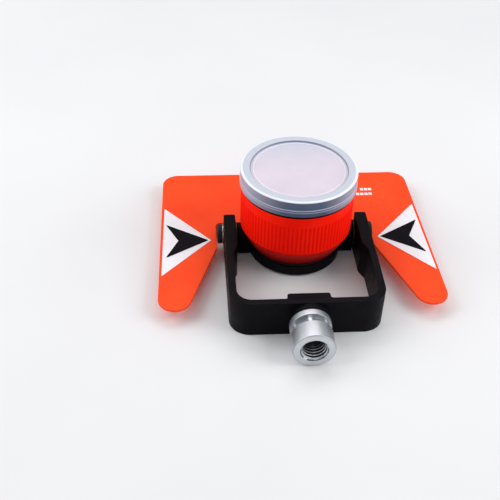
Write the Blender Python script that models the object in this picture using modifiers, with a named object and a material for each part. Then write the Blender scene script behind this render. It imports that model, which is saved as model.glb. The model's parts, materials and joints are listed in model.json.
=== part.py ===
"""Survey prism: a tilting corner-cube reflector with its sighting target, in a U-shaped yoke.

The part lies on the back of its yoke. +Z is the prism's optical axis, +X runs along the tilt axis,
and -Y points out of the pole socket. Lengths are in metres. Every piece hangs from an empty at the
point where the tilt axis meets the optical axis, and its own numbers are measured from that point.
"""
import math

import bmesh
import bpy
from mathutils import Vector

# Where the tilt axis meets the optical axis. The yoke's back is on the floor, z = 0.
YOKE_HALF_DEPTH = 0.0127
TARGET_TOP = 0.0713
SOCKET_END = -0.1091
TILT_POINT = Vector((0.0, -(TARGET_TOP + SOCKET_END) / 2.0, YOKE_HALF_DEPTH))

GAP = 0.0003
SKIN_GAP = 0.0001
WELD = 0.000001
PAST = 0.004
ROUND_STEPS = 48
SMALL_STEPS = 24
SCREW_STEPS = 16
ARM_TOP_STEPS = 6
CORNER_STEP_DEG = 11.0
SHARP_ANGLE = math.radians(35.0)
BEVEL_ANGLE = math.radians(50.0)
FLAT_ANGLE = math.radians(1.0)
HEXAGON = 6
# No facet edge of the glass falls on one of the three edges of its cut corner.
GLASS_STEPS = 45

# Yoke: a cast U in the XY plane.
ARM_OUTER_X = 0.0475
ARM_INNER_X = 0.0430
ARM_HEAD_X = 0.0399
ARM_TOP = 0.0070
ARM_TOP_RADIUS = 0.0040
HEAD_BOTTOM = -0.0270
HEAD_STEP = 0.0070
HEAD_STEP_RADIUS = 0.0050
BASE_OUTER = -0.0824
BASE_INNER = -0.0779
BASE_OUTER_RADIUS = 0.0130
BASE_INNER_RADIUS = 0.0090
PAD_HALF_WIDTH = 0.0130
PAD_TOP = -0.0735
PAD_EDGE_RADIUS = 0.0015
BOSS_RADIUS = 0.0124
BOSS_ROOT = -0.0799
BOSS_END = -0.0867
YOKE_EDGE = 0.0008

# Pole socket, bored for a 5/8 inch - 11 thread (minor radius 6.8 mm), and its bolt.
SOCKET_RADIUS = 0.0127
SOCKET_BACK = BOSS_END - GAP
SOCKET_EDGE = 0.0005
THREAD_MINOR_RADIUS = 0.0068
THREAD_MOUTH_RADIUS = 0.0084
BORE_END = -0.0910
NECK_TOP = -0.0914
NECK_BOTTOM = -0.0966
NECK_FLAT_RADIUS = 0.0099
BOLT_RADIUS = 0.0040
BOLT_HOLE_RADIUS = 0.0043
BOLT_HEAD_RADIUS = 0.0065
BOLT_HEAD_TOP = PAD_TOP - GAP
BOLT_HEAD_HEIGHT = 0.0044
BOLT_END = -0.0920
BOLT_KEY_FLAT = 0.0030
BOLT_KEY_DEPTH = 0.0024
COUNTERBORE_RADIUS = 0.0070
COUNTERBORE_END = -0.0800
BOLT_WASHER_THICKNESS = 0.0012

# Pivots: a shoulder screw, a washer and a flanged bush on each side.
PIVOT_HOLE_RADIUS = 0.0063
BUSH_RADIUS = 0.0060
BUSH_FLANGE_RADIUS = 0.0080
BUSH_FLANGE_THICKNESS = 0.0008
SHOULDER_RADIUS = 0.0040
SHOULDER_BORE_RADIUS = 0.00415
PIVOT_WASHER_RADIUS = 0.0068
PIVOT_WASHER_THICKNESS = 0.0006
PIVOT_HEAD_RADIUS = 0.0064
PIVOT_HEAD_THICKNESS = 0.0030
PIVOT_KEY_FLAT = 0.0020
PIVOT_KEY_DEPTH = 0.0014
PIVOT_THREAD_RADIUS = 0.0024
PIVOT_TAP_RADIUS = 0.0026
PIVOT_TIP_X = 0.0346

# Tilt ring: a threaded ring with two pivot ears and, behind the plate, a screw flange.
RING_RADIUS = 0.0305
RING_BORE_RADIUS = 0.0270
RING_BOTTOM = -0.0115
RING_TOP = -0.0044
RING_EDGE = 0.0006
EAR_BOTTOM = -0.0114
EAR_OUTER_X = 0.0385
EAR_INNER_X = 0.0285
EAR_RADIUS = 0.0075
SEAT_RADIUS = 0.03035
SEAT_FLOOR = -0.00445
SEAT_WALL_RADIUS = 0.0370
FLANGE_RADIUS = 0.0360
FLANGE_ROOT_RADIUS = 0.0287
FLANGE_TOP = -0.0045
FLANGE_BOTTOM = -0.0076
FLANGE_START_DEG = 20.0

# Target plate and its screws.
PLATE_FRONT = -0.0025
PLATE_THICKNESS = 0.0016
PLATE_BACK = PLATE_FRONT - PLATE_THICKNESS
PLATE_TOP_X = 0.0880
PLATE_TOP_RADIUS = 0.0110
PLATE_SIDE_SLOPE = 0.021
WING_INNER_X = 0.0484
WING_INNER_SLOPE = 0.353
WING_LOBE_RADIUS = 0.0104
WING_HIP_RADIUS = 0.0060
SLOT_OUTER_X = 0.0523
SLOT_INNER_X = 0.0382
SLOT_TOP = 0.0150
SLOT_CORNER_RADIUS = 0.0040
SLOT_EDGE_RADIUS = 0.0015
EAR_NOTCH_Y = 0.0082
EAR_NOTCH_RADIUS = 0.0005
PLATE_DISC_RADIUS = 0.0300
PLATE_BORE_RADIUS = 0.0272
SCREW_CIRCLE_RADIUS = 0.0332
SCREW_ANGLES_DEG = (35.0, 72.0, 108.0, 145.0)
SCREW_RADIUS = 0.0010
SCREW_HOLE_RADIUS = 0.0013
SCREW_HEAD_RADIUS = 0.0019
SCREW_HEAD_HEIGHT = 0.0012
SCREW_TIP = -0.0070

# Sighting marks: a white triangle with a black arrowhead on each wing, points inwards.
MARK_THICKNESS = 0.0002
PANEL_TIP_X = 0.0560
PANEL_OUTER_X = 0.0870
PANEL_OUTER_TOP = 0.0315
PANEL_OUTER_BOTTOM = -0.0385
PANEL_LEAN = 0.0017
ARROW_TIP_X = 0.0578
ARROW_OUTER_X = 0.0860
ARROW_NOTCH_X = 0.0777
ARROW_HALF_HEIGHT = 0.0172
MARK_CENTRE_Y = -0.0038

# Canister, the glass in it, and its rings.
CAN_RADIUS = 0.0366
CAN_RIB_RADIUS = 0.0363
CAN_TOP = 0.0504
CAN_BOTTOM = PLATE_FRONT + GAP
CAN_EDGE = 0.0006
RIB_TOP = 0.0342
RIB_BOTTOM = 0.0112
RIB_STEP = 0.0003
CONE_TOP = 0.0104
CONE_BOTTOM_RADIUS = 0.0300
CAN_NECK_RADIUS = RING_BORE_RADIUS - GAP
CAN_NECK_BOTTOM = -0.0104
CAN_NECK_BORE = 0.0235
GLASS_BORE = 0.0318
GLASS_FLOOR = 0.0128
GLASS_RADIUS = 0.0313
GLASS_FRONT = 0.0470
CUTTING_CUBE = 0.0900
GASKET_INNER = 0.0296
GASKET_OUTER = 0.0315
GASKET_THICKNESS = 0.0010
LIP_RADIUS = 0.0343
LIP_FLOOR = 0.0483
RETAINER_OUTER = 0.0340
RETAINER_TOP = 0.0503
NOTCH_WIDTH = 0.0030
NOTCH_DEPTH = 0.0009
CUSHION_INNER = 0.0240
CUSHION_TOP = 0.0166
COVER_RADIUS = 0.0264
COVER_BOTTOM = -0.0122
COVER_FLOOR = -0.0107
COVER_SPIGOT_RADIUS = CAN_NECK_BORE - GAP
COVER_SPIGOT_BORE = 0.0205
COVER_SPIGOT_TOP = -0.0050
COIN_SLOT_LENGTH = 0.0300
COIN_SLOT_WIDTH = 0.0030
COIN_SLOT_DEPTH = 0.0010

# Dust cap, pressed over the canister's front.
CAP_RADIUS = 0.0377
CAP_BORE = 0.03695
CAP_TOP = 0.0526
CAP_BOTTOM = 0.0416
CAP_RECESS_RADIUS = 0.0311
CAP_RECESS_FLOOR = 0.0518
CAP_RECESS_SLOPE = 0.0004
CAP_EDGE = 0.0007
CAP_CEILING = CAN_TOP + GAP

AXIS_TURNS = {
    "Z": (0.0, 0.0, 0.0),
    "Y": (-math.pi / 2.0, 0.0, 0.0),
    "+X": (0.0, math.pi / 2.0, 0.0),
    "-X": (0.0, -math.pi / 2.0, 0.0),
}
SIDES = (("right", 1.0, "+X"), ("left", -1.0, "-X"))


def clear_scene():
    for old in list(bpy.data.objects):
        bpy.data.objects.remove(old, do_unlink=True)


def new_collection(name):
    made = bpy.data.collections.new(name)
    bpy.context.scene.collection.children.link(made)
    return made


def new_frame(name, parent=None):
    """An empty at the tilt point: the origin of one moving body."""
    frame = bpy.data.objects.new(name, None)
    frame.empty_display_size = 0.02
    PARTS.objects.link(frame)
    if parent is None:
        frame.location = TILT_POINT
    else:
        frame.parent = parent
    return frame


def plain_material(name, colour, roughness, metallic=0.0, transmission=0.0):
    made = bpy.data.materials.new(name)
    made.use_nodes = True
    shader = made.node_tree.nodes["Principled BSDF"]
    shader.inputs["Base Color"].default_value = (*colour, 1.0)
    shader.inputs["Roughness"].default_value = roughness
    shader.inputs["Metallic"].default_value = metallic
    shader.inputs["Transmission Weight"].default_value = transmission
    return made


def place(solid, frame, finish):
    """Put a finished piece in the part, under the empty it moves with."""
    solid.parent = frame
    if finish is None:
        CUTTERS.objects.link(solid)
        solid.hide_render = True
        solid.display_type = "WIRE"
    else:
        PARTS.objects.link(solid)
        solid.data.materials.append(finish)
    return solid


def turned(name, profile, frame, finish, axis="Z", closed=True, steps=ROUND_STEPS):
    """Turn (radius, height) points, listed down the outer side, about an axis."""
    mesh = bpy.data.meshes.new(name)
    points = [(radius, 0.0, height) for radius, height in profile]
    edges = [(i, i + 1) for i in range(len(points) - 1)]
    if closed:
        edges.append((len(points) - 1, 0))
    mesh.from_pydata(points, edges, [])
    solid = bpy.data.objects.new(name, mesh)
    solid.rotation_euler = AXIS_TURNS[axis]
    screw = solid.modifiers.new("turn", "SCREW")
    screw.steps = steps
    screw.render_steps = steps
    screw.use_merge_vertices = True
    screw.merge_threshold = 0.00001
    screw.use_smooth_shade = True
    return place(solid, frame, finish)


def cylinder(name, radius, span, frame, axis="Z", steps=ROUND_STEPS, centre=(0.0, 0.0)):
    """A plain cylinder cutter; span holds its two ends along its axis."""
    low, high = span
    mesh = bpy.data.meshes.new(name)
    shape = bmesh.new()
    bmesh.ops.create_cone(
        shape, cap_ends=True, segments=steps, radius1=radius, radius2=radius, depth=high - low
    )
    bmesh.ops.translate(shape, verts=shape.verts, vec=(*centre, (low + high) / 2.0))
    shape.to_mesh(mesh)
    shape.free()
    solid = bpy.data.objects.new(name, mesh)
    solid.rotation_euler = AXIS_TURNS[axis]
    return place(solid, frame, None)


def box(name, size, centre, frame):
    mesh = bpy.data.meshes.new(name)
    shape = bmesh.new()
    bmesh.ops.create_cube(shape, size=1.0)
    bmesh.ops.scale(shape, verts=shape.verts, vec=size)
    bmesh.ops.translate(shape, verts=shape.verts, vec=centre)
    shape.to_mesh(mesh)
    shape.free()
    return place(bpy.data.objects.new(name, mesh), frame, None)


def arc(radius, start_deg, end_deg, steps, centre=(0.0, 0.0)):
    points = []
    for i in range(steps + 1):
        angle = math.radians(start_deg + (end_deg - start_deg) * i / steps)
        points.append((centre[0] + radius * math.cos(angle), centre[1] + radius * math.sin(angle)))
    return points


def circle(radius, steps, centre=(0.0, 0.0)):
    """A full circle's outline, with no point repeated."""
    return arc(radius, 0.0, 360.0 * (steps - 1) / steps, steps - 1, centre)


def polygon(flat_radius, sides):
    """A regular polygon with a corner on +Y; flat_radius is from its centre to a flat."""
    corner_radius = flat_radius / math.cos(math.pi / sides)
    return arc(corner_radius, 90.0, 90.0 + 360.0 * (sides - 1) / sides, sides - 1)


def rounded(corners):
    """A closed outline from (x, y, radius) corners, each rounded by its own radius."""
    outline = []
    for i, (x, y, radius) in enumerate(corners):
        corner = Vector((x, y))
        if radius == 0.0:
            outline.append((x, y))
            continue
        back = (Vector(corners[i - 1][:2]) - corner).normalized()
        ahead = (Vector(corners[(i + 1) % len(corners)][:2]) - corner).normalized()
        half = back.angle(ahead) / 2.0
        centre = corner + (back + ahead).normalized() * (radius / math.sin(half))
        first = corner + back * (radius / math.tan(half)) - centre
        turn = math.pi - 2.0 * half
        if back.x * ahead.y - back.y * ahead.x > 0.0:
            turn = -turn
        steps = max(3, round(abs(math.degrees(turn)) / CORNER_STEP_DEG))
        for k in range(steps + 1):
            angle = turn * k / steps
            across = first.x * math.cos(angle) - first.y * math.sin(angle)
            along = first.x * math.sin(angle) + first.y * math.cos(angle)
            outline.append((centre.x + across, centre.y + along))
    return outline


def flat_solid(name, outlines, low, high, frame, finish, axis="Z"):
    """A flat plate from closed outlines: the first is its edge, any others are holes."""
    curve = bpy.data.curves.new(name, "CURVE")
    curve.dimensions = "2D"
    curve.fill_mode = "BOTH"
    curve.extrude = (high - low) / 2.0
    for outline in outlines:
        spline = curve.splines.new("POLY")
        spline.points.add(len(outline) - 1)
        for point, (x, y) in zip(spline.points, outline):
            point.co = (x, y, 0.0, 1.0)
        spline.use_cyclic_u = True
    guide = bpy.data.objects.new(name + "_outline", curve)
    CUTTERS.objects.link(guide)
    bpy.context.view_layer.update()
    graph = bpy.context.evaluated_depsgraph_get()
    mesh = bpy.data.meshes.new_from_object(guide.evaluated_get(graph))
    bpy.data.objects.remove(guide, do_unlink=True)
    mesh.name = name
    shape = bmesh.new()
    shape.from_mesh(mesh)
    bmesh.ops.remove_doubles(shape, verts=shape.verts, dist=WELD)
    bmesh.ops.translate(shape, verts=shape.verts, vec=(0.0, 0.0, (low + high) / 2.0))
    if len(outlines) == 1:
        bmesh.ops.dissolve_limit(
            shape, angle_limit=FLAT_ANGLE, verts=shape.verts, edges=shape.edges
        )
    shape.to_mesh(mesh)
    shape.free()
    solid = bpy.data.objects.new(name, mesh)
    solid.rotation_euler = AXIS_TURNS[axis]
    return place(solid, frame, finish)


def ease_edges(solid, width, segments=2):
    bevel = solid.modifiers.new("edges", "BEVEL")
    bevel.width = width
    bevel.segments = segments
    bevel.limit_method = "ANGLE"
    bevel.angle_limit = BEVEL_ANGLE


def combine(solid, tool, operation):
    boolean = solid.modifiers.new(tool.name, "BOOLEAN")
    boolean.operation = operation
    boolean.solver = "EXACT"
    boolean.object = tool


def cut(solid, tool):
    combine(solid, tool, "DIFFERENCE")


def shade_round(solid):
    mesh = solid.data
    mesh.shade_smooth()
    mesh.set_sharp_from_angle(angle=SHARP_ANGLE)


def mirrored(corners):
    """The other half of a symmetric outline, in running order."""
    return [(-x, y, radius) for x, y, radius in reversed(corners)]


def make_yoke(frame, finish):
    outer = [(ARM_OUTER_X, ARM_TOP, 0.0), (ARM_OUTER_X, BASE_OUTER, BASE_OUTER_RADIUS)]
    inner = [
        (-ARM_HEAD_X, ARM_TOP, 0.0),
        (-ARM_HEAD_X, HEAD_BOTTOM, HEAD_STEP_RADIUS),
        (-ARM_INNER_X, HEAD_BOTTOM - HEAD_STEP, HEAD_STEP_RADIUS),
        (-ARM_INNER_X, BASE_INNER, BASE_INNER_RADIUS),
        (-PAD_HALF_WIDTH, BASE_INNER, PAD_EDGE_RADIUS),
        (-PAD_HALF_WIDTH, PAD_TOP, PAD_EDGE_RADIUS),
    ]
    outline = rounded(outer + mirrored(outer) + inner + mirrored(inner))
    yoke = flat_solid("yoke", [outline], -YOKE_HALF_DEPTH, YOKE_HALF_DEPTH, frame, finish)
    round_arm_tops(yoke.data)
    shade_round(yoke)
    ease_edges(yoke, YOKE_EDGE)
    through = (BOSS_END - PAST, PAD_TOP + PAST)
    sunk = (COUNTERBORE_END, PAD_TOP + PAST)
    combine(yoke, cylinder("yoke_boss", BOSS_RADIUS, (BOSS_END, BOSS_ROOT), frame, "Y"), "UNION")
    cut(yoke, cylinder("bolt_hole", BOLT_HOLE_RADIUS, through, frame, "Y", SMALL_STEPS))
    cut(yoke, cylinder("counterbore", COUNTERBORE_RADIUS, sunk, frame, "Y"))
    across_arm = (ARM_HEAD_X - PAST, ARM_OUTER_X + PAST)
    for side, _, axis in SIDES:
        name = "pivot_hole_" + side
        cut(yoke, cylinder(name, PIVOT_HOLE_RADIUS, across_arm, frame, axis, SMALL_STEPS))
    return yoke


def round_arm_tops(mesh):
    """Round the arms' top corners across their depth, so that the target's slots swing clear."""
    shape = bmesh.new()
    shape.from_mesh(mesh)
    top_edges = []
    for edge in shape.edges:
        on_top = all(abs(v.co.y - ARM_TOP) < WELD for v in edge.verts)
        at_face = all(abs(abs(v.co.z) - YOKE_HALF_DEPTH) < WELD for v in edge.verts)
        if on_top and at_face:
            top_edges.append(edge)
    bmesh.ops.bevel(
        shape, geom=top_edges, offset=ARM_TOP_RADIUS, segments=ARM_TOP_STEPS, profile=0.5,
        affect="EDGES"
    )
    shape.to_mesh(mesh)
    shape.free()


def make_pole_socket(frame, finish):
    profile = [
        (BOLT_HOLE_RADIUS, SOCKET_BACK),
        (SOCKET_RADIUS - SOCKET_EDGE, SOCKET_BACK),
        (SOCKET_RADIUS, SOCKET_BACK - SOCKET_EDGE),
        (SOCKET_RADIUS, SOCKET_END + SOCKET_EDGE),
        (SOCKET_RADIUS - SOCKET_EDGE, SOCKET_END),
        (THREAD_MOUTH_RADIUS, SOCKET_END),
        (THREAD_MINOR_RADIUS, SOCKET_END + THREAD_MOUTH_RADIUS - THREAD_MINOR_RADIUS),
        (THREAD_MINOR_RADIUS, BORE_END),
        (BOLT_HOLE_RADIUS, BORE_END),
    ]
    socket = turned("pole_socket", profile, frame, finish, "Y")
    around = circle(SOCKET_RADIUS + PAST, ROUND_STEPS)
    neck = polygon(NECK_FLAT_RADIUS, HEXAGON)
    groove = flat_solid("neck_groove", [around, neck], NECK_BOTTOM, NECK_TOP, frame, None, "Y")
    cut(socket, groove)
    return socket


def make_socket_bolt(frame, finish):
    head_bottom = BOLT_HEAD_TOP - BOLT_HEAD_HEIGHT
    profile = [
        (0.0, BOLT_HEAD_TOP),
        (BOLT_HEAD_RADIUS - SOCKET_EDGE, BOLT_HEAD_TOP),
        (BOLT_HEAD_RADIUS, BOLT_HEAD_TOP - SOCKET_EDGE),
        (BOLT_HEAD_RADIUS, head_bottom),
        (BOLT_RADIUS, head_bottom),
        (BOLT_RADIUS, BOLT_END + SOCKET_EDGE),
        (BOLT_RADIUS - SOCKET_EDGE, BOLT_END),
        (0.0, BOLT_END),
    ]
    bolt = turned("socket_bolt", profile, frame, finish, "Y", closed=False, steps=SMALL_STEPS)
    key_floor = BOLT_HEAD_TOP - BOLT_KEY_DEPTH
    key_top = BOLT_HEAD_TOP + PAST
    outline = polygon(BOLT_KEY_FLAT, HEXAGON)
    cut(bolt, flat_solid("bolt_key", [outline], key_floor, key_top, frame, None, "Y"))
    return bolt


def ring(name, inner, outer, low, high, frame, finish, axis="Z", steps=ROUND_STEPS):
    """A flat ring with square edges."""
    profile = [(inner, high), (outer, high), (outer, low), (inner, low)]
    return turned(name, profile, frame, finish, axis, steps=steps)


def make_pivot(side, axis, yoke_frame, target_frame, finishes):
    """Bush, washer and shoulder screw of one side."""
    bush_inner = EAR_OUTER_X + GAP
    bush_shoulder = bush_inner + BUSH_FLANGE_THICKNESS
    bush_end = ARM_OUTER_X - GAP
    bush = [
        (SHOULDER_BORE_RADIUS, bush_end),
        (BUSH_RADIUS, bush_end),
        (BUSH_RADIUS, bush_shoulder),
        (BUSH_FLANGE_RADIUS, bush_shoulder),
        (BUSH_FLANGE_RADIUS, bush_inner),
        (SHOULDER_BORE_RADIUS, bush_inner),
    ]
    turned("pivot_bush_" + side, bush, yoke_frame, finishes["bush"], axis, steps=SMALL_STEPS)
    washer_low = ARM_OUTER_X + GAP
    washer_high = washer_low + PIVOT_WASHER_THICKNESS
    ring(
        "pivot_washer_" + side, SHOULDER_BORE_RADIUS, PIVOT_WASHER_RADIUS, washer_low, washer_high,
        target_frame, finishes["steel"], axis, SMALL_STEPS
    )
    head_low = washer_high + GAP
    head_high = head_low + PIVOT_HEAD_THICKNESS
    screw = [
        (0.0, head_high),
        (PIVOT_HEAD_RADIUS - SOCKET_EDGE, head_high),
        (PIVOT_HEAD_RADIUS, head_high - SOCKET_EDGE),
        (PIVOT_HEAD_RADIUS, head_low),
        (SHOULDER_RADIUS, head_low),
        (SHOULDER_RADIUS, bush_inner),
        (PIVOT_THREAD_RADIUS, bush_inner),
        (PIVOT_THREAD_RADIUS, PIVOT_TIP_X),
        (0.0, PIVOT_TIP_X),
    ]
    name = "pivot_screw_" + side
    made = turned(
        name, screw, target_frame, finishes["black_steel"], axis, closed=False, steps=SMALL_STEPS
    )
    key_low = head_high - PIVOT_KEY_DEPTH
    key_high = head_high + PAST
    outline = polygon(PIVOT_KEY_FLAT, HEXAGON)
    cut(made, flat_solid(name + "_key", [outline], key_low, key_high, target_frame, None, axis))


def make_tilt_ring(frame, finish):
    profile = [
        (RING_BORE_RADIUS, RING_TOP),
        (RING_RADIUS, RING_TOP),
        (RING_RADIUS, RING_BOTTOM + RING_EDGE),
        (RING_RADIUS - RING_EDGE, RING_BOTTOM),
        (RING_BORE_RADIUS, RING_BOTTOM),
    ]
    tilt_ring = turned("tilt_ring", profile, frame, finish)
    seat = make_canister_seat(frame)
    for side, sign, axis in SIDES:
        ear = make_ear("ear_" + side, sign, axis, frame)
        cut(ear, seat)
        combine(tilt_ring, ear, "UNION")
    combine(tilt_ring, make_screw_flange(frame), "UNION")
    tap = (PIVOT_TIP_X - GAP, ARM_HEAD_X)
    for side, _, axis in SIDES:
        name = "ring_tap_" + side
        cut(tilt_ring, cylinder(name, PIVOT_TAP_RADIUS, tap, frame, axis, SMALL_STEPS))
    return tilt_ring


def make_ear(name, sign, axis, frame):
    """A pivot ear: round about the tilt axis in front, square behind."""
    outline = [(sign * -EAR_BOTTOM, -EAR_RADIUS), (sign * -EAR_BOTTOM, EAR_RADIUS)]
    for x, y in arc(EAR_RADIUS, 90.0, 270.0, SMALL_STEPS):
        outline.append((sign * x, y))
    return flat_solid(name, [outline], EAR_INNER_X, EAR_OUTER_X, frame, None, axis)


def make_canister_seat(frame):
    """The space inside the ears that the canister's cone and the plate's disc take up."""
    profile = [
        (0.0, RIB_TOP),
        (SEAT_WALL_RADIUS, RIB_TOP),
        (SEAT_WALL_RADIUS, CONE_TOP),
        (SEAT_RADIUS, CAN_BOTTOM),
        (SEAT_RADIUS, SEAT_FLOOR),
        (0.0, SEAT_FLOOR),
    ]
    return turned("canister_seat", profile, frame, None, closed=False)


def make_screw_flange(frame):
    """The arc behind the plate's upper half that the plate's screws run into."""
    start = FLANGE_START_DEG
    end = 180.0 - start
    outline = arc(FLANGE_RADIUS, start, end, ROUND_STEPS)
    outline += arc(FLANGE_ROOT_RADIUS, end, start, ROUND_STEPS)
    outlines = [outline] + screw_holes()
    return flat_solid("screw_flange", outlines, FLANGE_BOTTOM, FLANGE_TOP, frame, None)


def screw_centres():
    centres = []
    for degrees in SCREW_ANGLES_DEG:
        angle = math.radians(degrees)
        centres.append((SCREW_CIRCLE_RADIUS * math.cos(angle), SCREW_CIRCLE_RADIUS * math.sin(angle)))
    return centres


def screw_holes():
    return [circle(SCREW_HOLE_RADIUS, SCREW_STEPS, centre) for centre in screw_centres()]


def make_target_plate(frame, finish):
    side_start = PLATE_TOP_X + PLATE_SIDE_SLOPE * TARGET_TOP
    lobe_y = -(side_start - WING_INNER_X) / (WING_INNER_SLOPE - PLATE_SIDE_SLOPE)
    lobe_x = WING_INNER_X - WING_INNER_SLOPE * lobe_y
    wing_start = -(SLOT_OUTER_X - WING_INNER_X) / WING_INNER_SLOPE
    wing = [
        (SLOT_INNER_X, EAR_NOTCH_Y, EAR_NOTCH_RADIUS),
        (SLOT_INNER_X, SLOT_TOP, SLOT_EDGE_RADIUS),
        (SLOT_OUTER_X, SLOT_TOP, SLOT_CORNER_RADIUS),
        (SLOT_OUTER_X, wing_start, WING_HIP_RADIUS),
        (lobe_x, lobe_y, WING_LOBE_RADIUS),
        (PLATE_TOP_X, TARGET_TOP, PLATE_TOP_RADIUS),
    ]
    notch_angle = math.degrees(math.asin(EAR_NOTCH_Y / PLATE_DISC_RADIUS))
    disc = arc(PLATE_DISC_RADIUS, 180.0 - notch_angle, 360.0 + notch_angle, ROUND_STEPS)
    corners = [(x, y, 0.0) for x, y in disc] + wing + mirrored(wing)
    outlines = [rounded(corners), circle(PLATE_BORE_RADIUS, ROUND_STEPS)] + screw_holes()
    plate = flat_solid("target_plate", outlines, PLATE_BACK, PLATE_FRONT, frame, finish)
    shade_round(plate)
    return plate


def make_plate_screws(frame, finish):
    head_low = PLATE_FRONT + GAP
    head_high = head_low + SCREW_HEAD_HEIGHT
    profile = [
        (0.0, head_high),
        (SCREW_HEAD_RADIUS - GAP, head_high),
        (SCREW_HEAD_RADIUS, head_high - GAP),
        (SCREW_HEAD_RADIUS, head_low),
        (SCREW_RADIUS, head_low),
        (SCREW_RADIUS, SCREW_TIP),
        (0.0, SCREW_TIP),
    ]
    for number, centre in enumerate(screw_centres(), start=1):
        name = f"plate_screw_{number}"
        screw = turned(name, profile, frame, finish, closed=False, steps=SCREW_STEPS)
        screw.location = (*centre, 0.0)


def make_marks(frame, finishes):
    """The white panel and the black arrowhead of each wing."""
    panel_low = PLATE_FRONT + SKIN_GAP
    arrow_low = panel_low + MARK_THICKNESS + SKIN_GAP
    for side, sign, _ in SIDES:
        panel = [
            (sign * PANEL_TIP_X, MARK_CENTRE_Y),
            (sign * (PANEL_OUTER_X + PANEL_LEAN), PANEL_OUTER_BOTTOM),
            (sign * PANEL_OUTER_X, PANEL_OUTER_TOP),
        ]
        arrow = [
            (sign * ARROW_TIP_X, MARK_CENTRE_Y),
            (sign * ARROW_OUTER_X, MARK_CENTRE_Y - ARROW_HALF_HEIGHT),
            (sign * ARROW_NOTCH_X, MARK_CENTRE_Y),
            (sign * ARROW_OUTER_X, MARK_CENTRE_Y + ARROW_HALF_HEIGHT),
        ]
        panel_high = panel_low + MARK_THICKNESS
        arrow_high = arrow_low + MARK_THICKNESS
        flat_solid("arrow_panel_" + side, [panel], panel_low, panel_high, frame, finishes["white"])
        flat_solid("arrow_" + side, [arrow], arrow_low, arrow_high, frame, finishes["ink"])


def make_canister_shell(frame, finish):
    profile = [
        (LIP_RADIUS, CAN_TOP),
        (CAN_RADIUS - CAN_EDGE, CAN_TOP),
        (CAN_RADIUS, CAN_TOP - CAN_EDGE),
        (CAN_RADIUS, RIB_TOP),
        (CAN_RIB_RADIUS, RIB_TOP - RIB_STEP),
        (CAN_RIB_RADIUS, RIB_BOTTOM + RIB_STEP),
        (CAN_RADIUS, RIB_BOTTOM),
        (CAN_RADIUS, CONE_TOP),
        (CONE_BOTTOM_RADIUS, CAN_BOTTOM),
        (CAN_NECK_RADIUS, CAN_BOTTOM),
        (CAN_NECK_RADIUS, CAN_NECK_BOTTOM + CAN_EDGE),
        (CAN_NECK_RADIUS - CAN_EDGE, CAN_NECK_BOTTOM),
        (CAN_NECK_BORE, CAN_NECK_BOTTOM),
        (CAN_NECK_BORE, GLASS_FLOOR),
        (GLASS_BORE, GLASS_FLOOR),
        (GLASS_BORE, LIP_FLOOR),
        (LIP_RADIUS, LIP_FLOOR),
    ]
    return turned("canister_shell", profile, frame, finish)


def make_corner_cube(frame, finish):
    """A glass cylinder cut by three planes that meet square at a point on the tilt axis."""
    profile = [
        (0.0, GLASS_FRONT),
        (GLASS_RADIUS, GLASS_FRONT),
        (GLASS_RADIUS, -PAST),
        (0.0, -PAST),
    ]
    glass = turned("corner_cube", profile, frame, finish, closed=False, steps=GLASS_STEPS)
    mesh = bpy.data.meshes.new("cube_corner")
    shape = bmesh.new()
    bmesh.ops.create_cube(shape, size=CUTTING_CUBE)
    half = CUTTING_CUBE / 2.0
    bmesh.ops.translate(shape, verts=shape.verts, vec=(half, half, half))
    shape.to_mesh(mesh)
    shape.free()
    corner = bpy.data.objects.new("cube_corner", mesh)
    diagonal = Vector((1.0, 1.0, 1.0))
    optical_axis = Vector((0.0, 0.0, 1.0))
    corner.rotation_euler = diagonal.rotation_difference(optical_axis).to_euler()
    combine(glass, place(corner, frame, None), "INTERSECT")
    return glass


def make_canister_rings(frame, finishes):
    gasket_low = GLASS_FRONT + GAP
    ring(
        "front_gasket", GASKET_INNER, GASKET_OUTER, gasket_low, gasket_low + GASKET_THICKNESS,
        frame, finishes["rubber"]
    )
    retainer = ring(
        "retaining_ring", GASKET_INNER, RETAINER_OUTER, LIP_FLOOR + GAP, RETAINER_TOP,
        frame, finishes["black"]
    )
    notch_size = (2.0 * LIP_RADIUS + PAST, NOTCH_WIDTH, 2.0 * NOTCH_DEPTH)
    cut(retainer, box("spanner_notch", notch_size, (0.0, 0.0, RETAINER_TOP), frame))
    ring(
        "rear_cushion", CUSHION_INNER, GASKET_OUTER, GLASS_FLOOR + GAP, CUSHION_TOP,
        frame, finishes["rubber"]
    )


def make_rear_cover(frame, finish):
    flange_top = CAN_NECK_BOTTOM - GAP
    profile = [
        (0.0, COVER_FLOOR),
        (COVER_SPIGOT_BORE, COVER_FLOOR),
        (COVER_SPIGOT_BORE, COVER_SPIGOT_TOP),
        (COVER_SPIGOT_RADIUS, COVER_SPIGOT_TOP),
        (COVER_SPIGOT_RADIUS, flange_top),
        (COVER_RADIUS, flange_top),
        (COVER_RADIUS, COVER_BOTTOM + SOCKET_EDGE),
        (COVER_RADIUS - SOCKET_EDGE, COVER_BOTTOM),
        (0.0, COVER_BOTTOM),
    ]
    cover = turned("rear_cover", profile, frame, finish, closed=False)
    slot_size = (COIN_SLOT_LENGTH, COIN_SLOT_WIDTH, 2.0 * COIN_SLOT_DEPTH)
    cut(cover, box("coin_slot", slot_size, (0.0, 0.0, COVER_BOTTOM), frame))
    return cover


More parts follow.
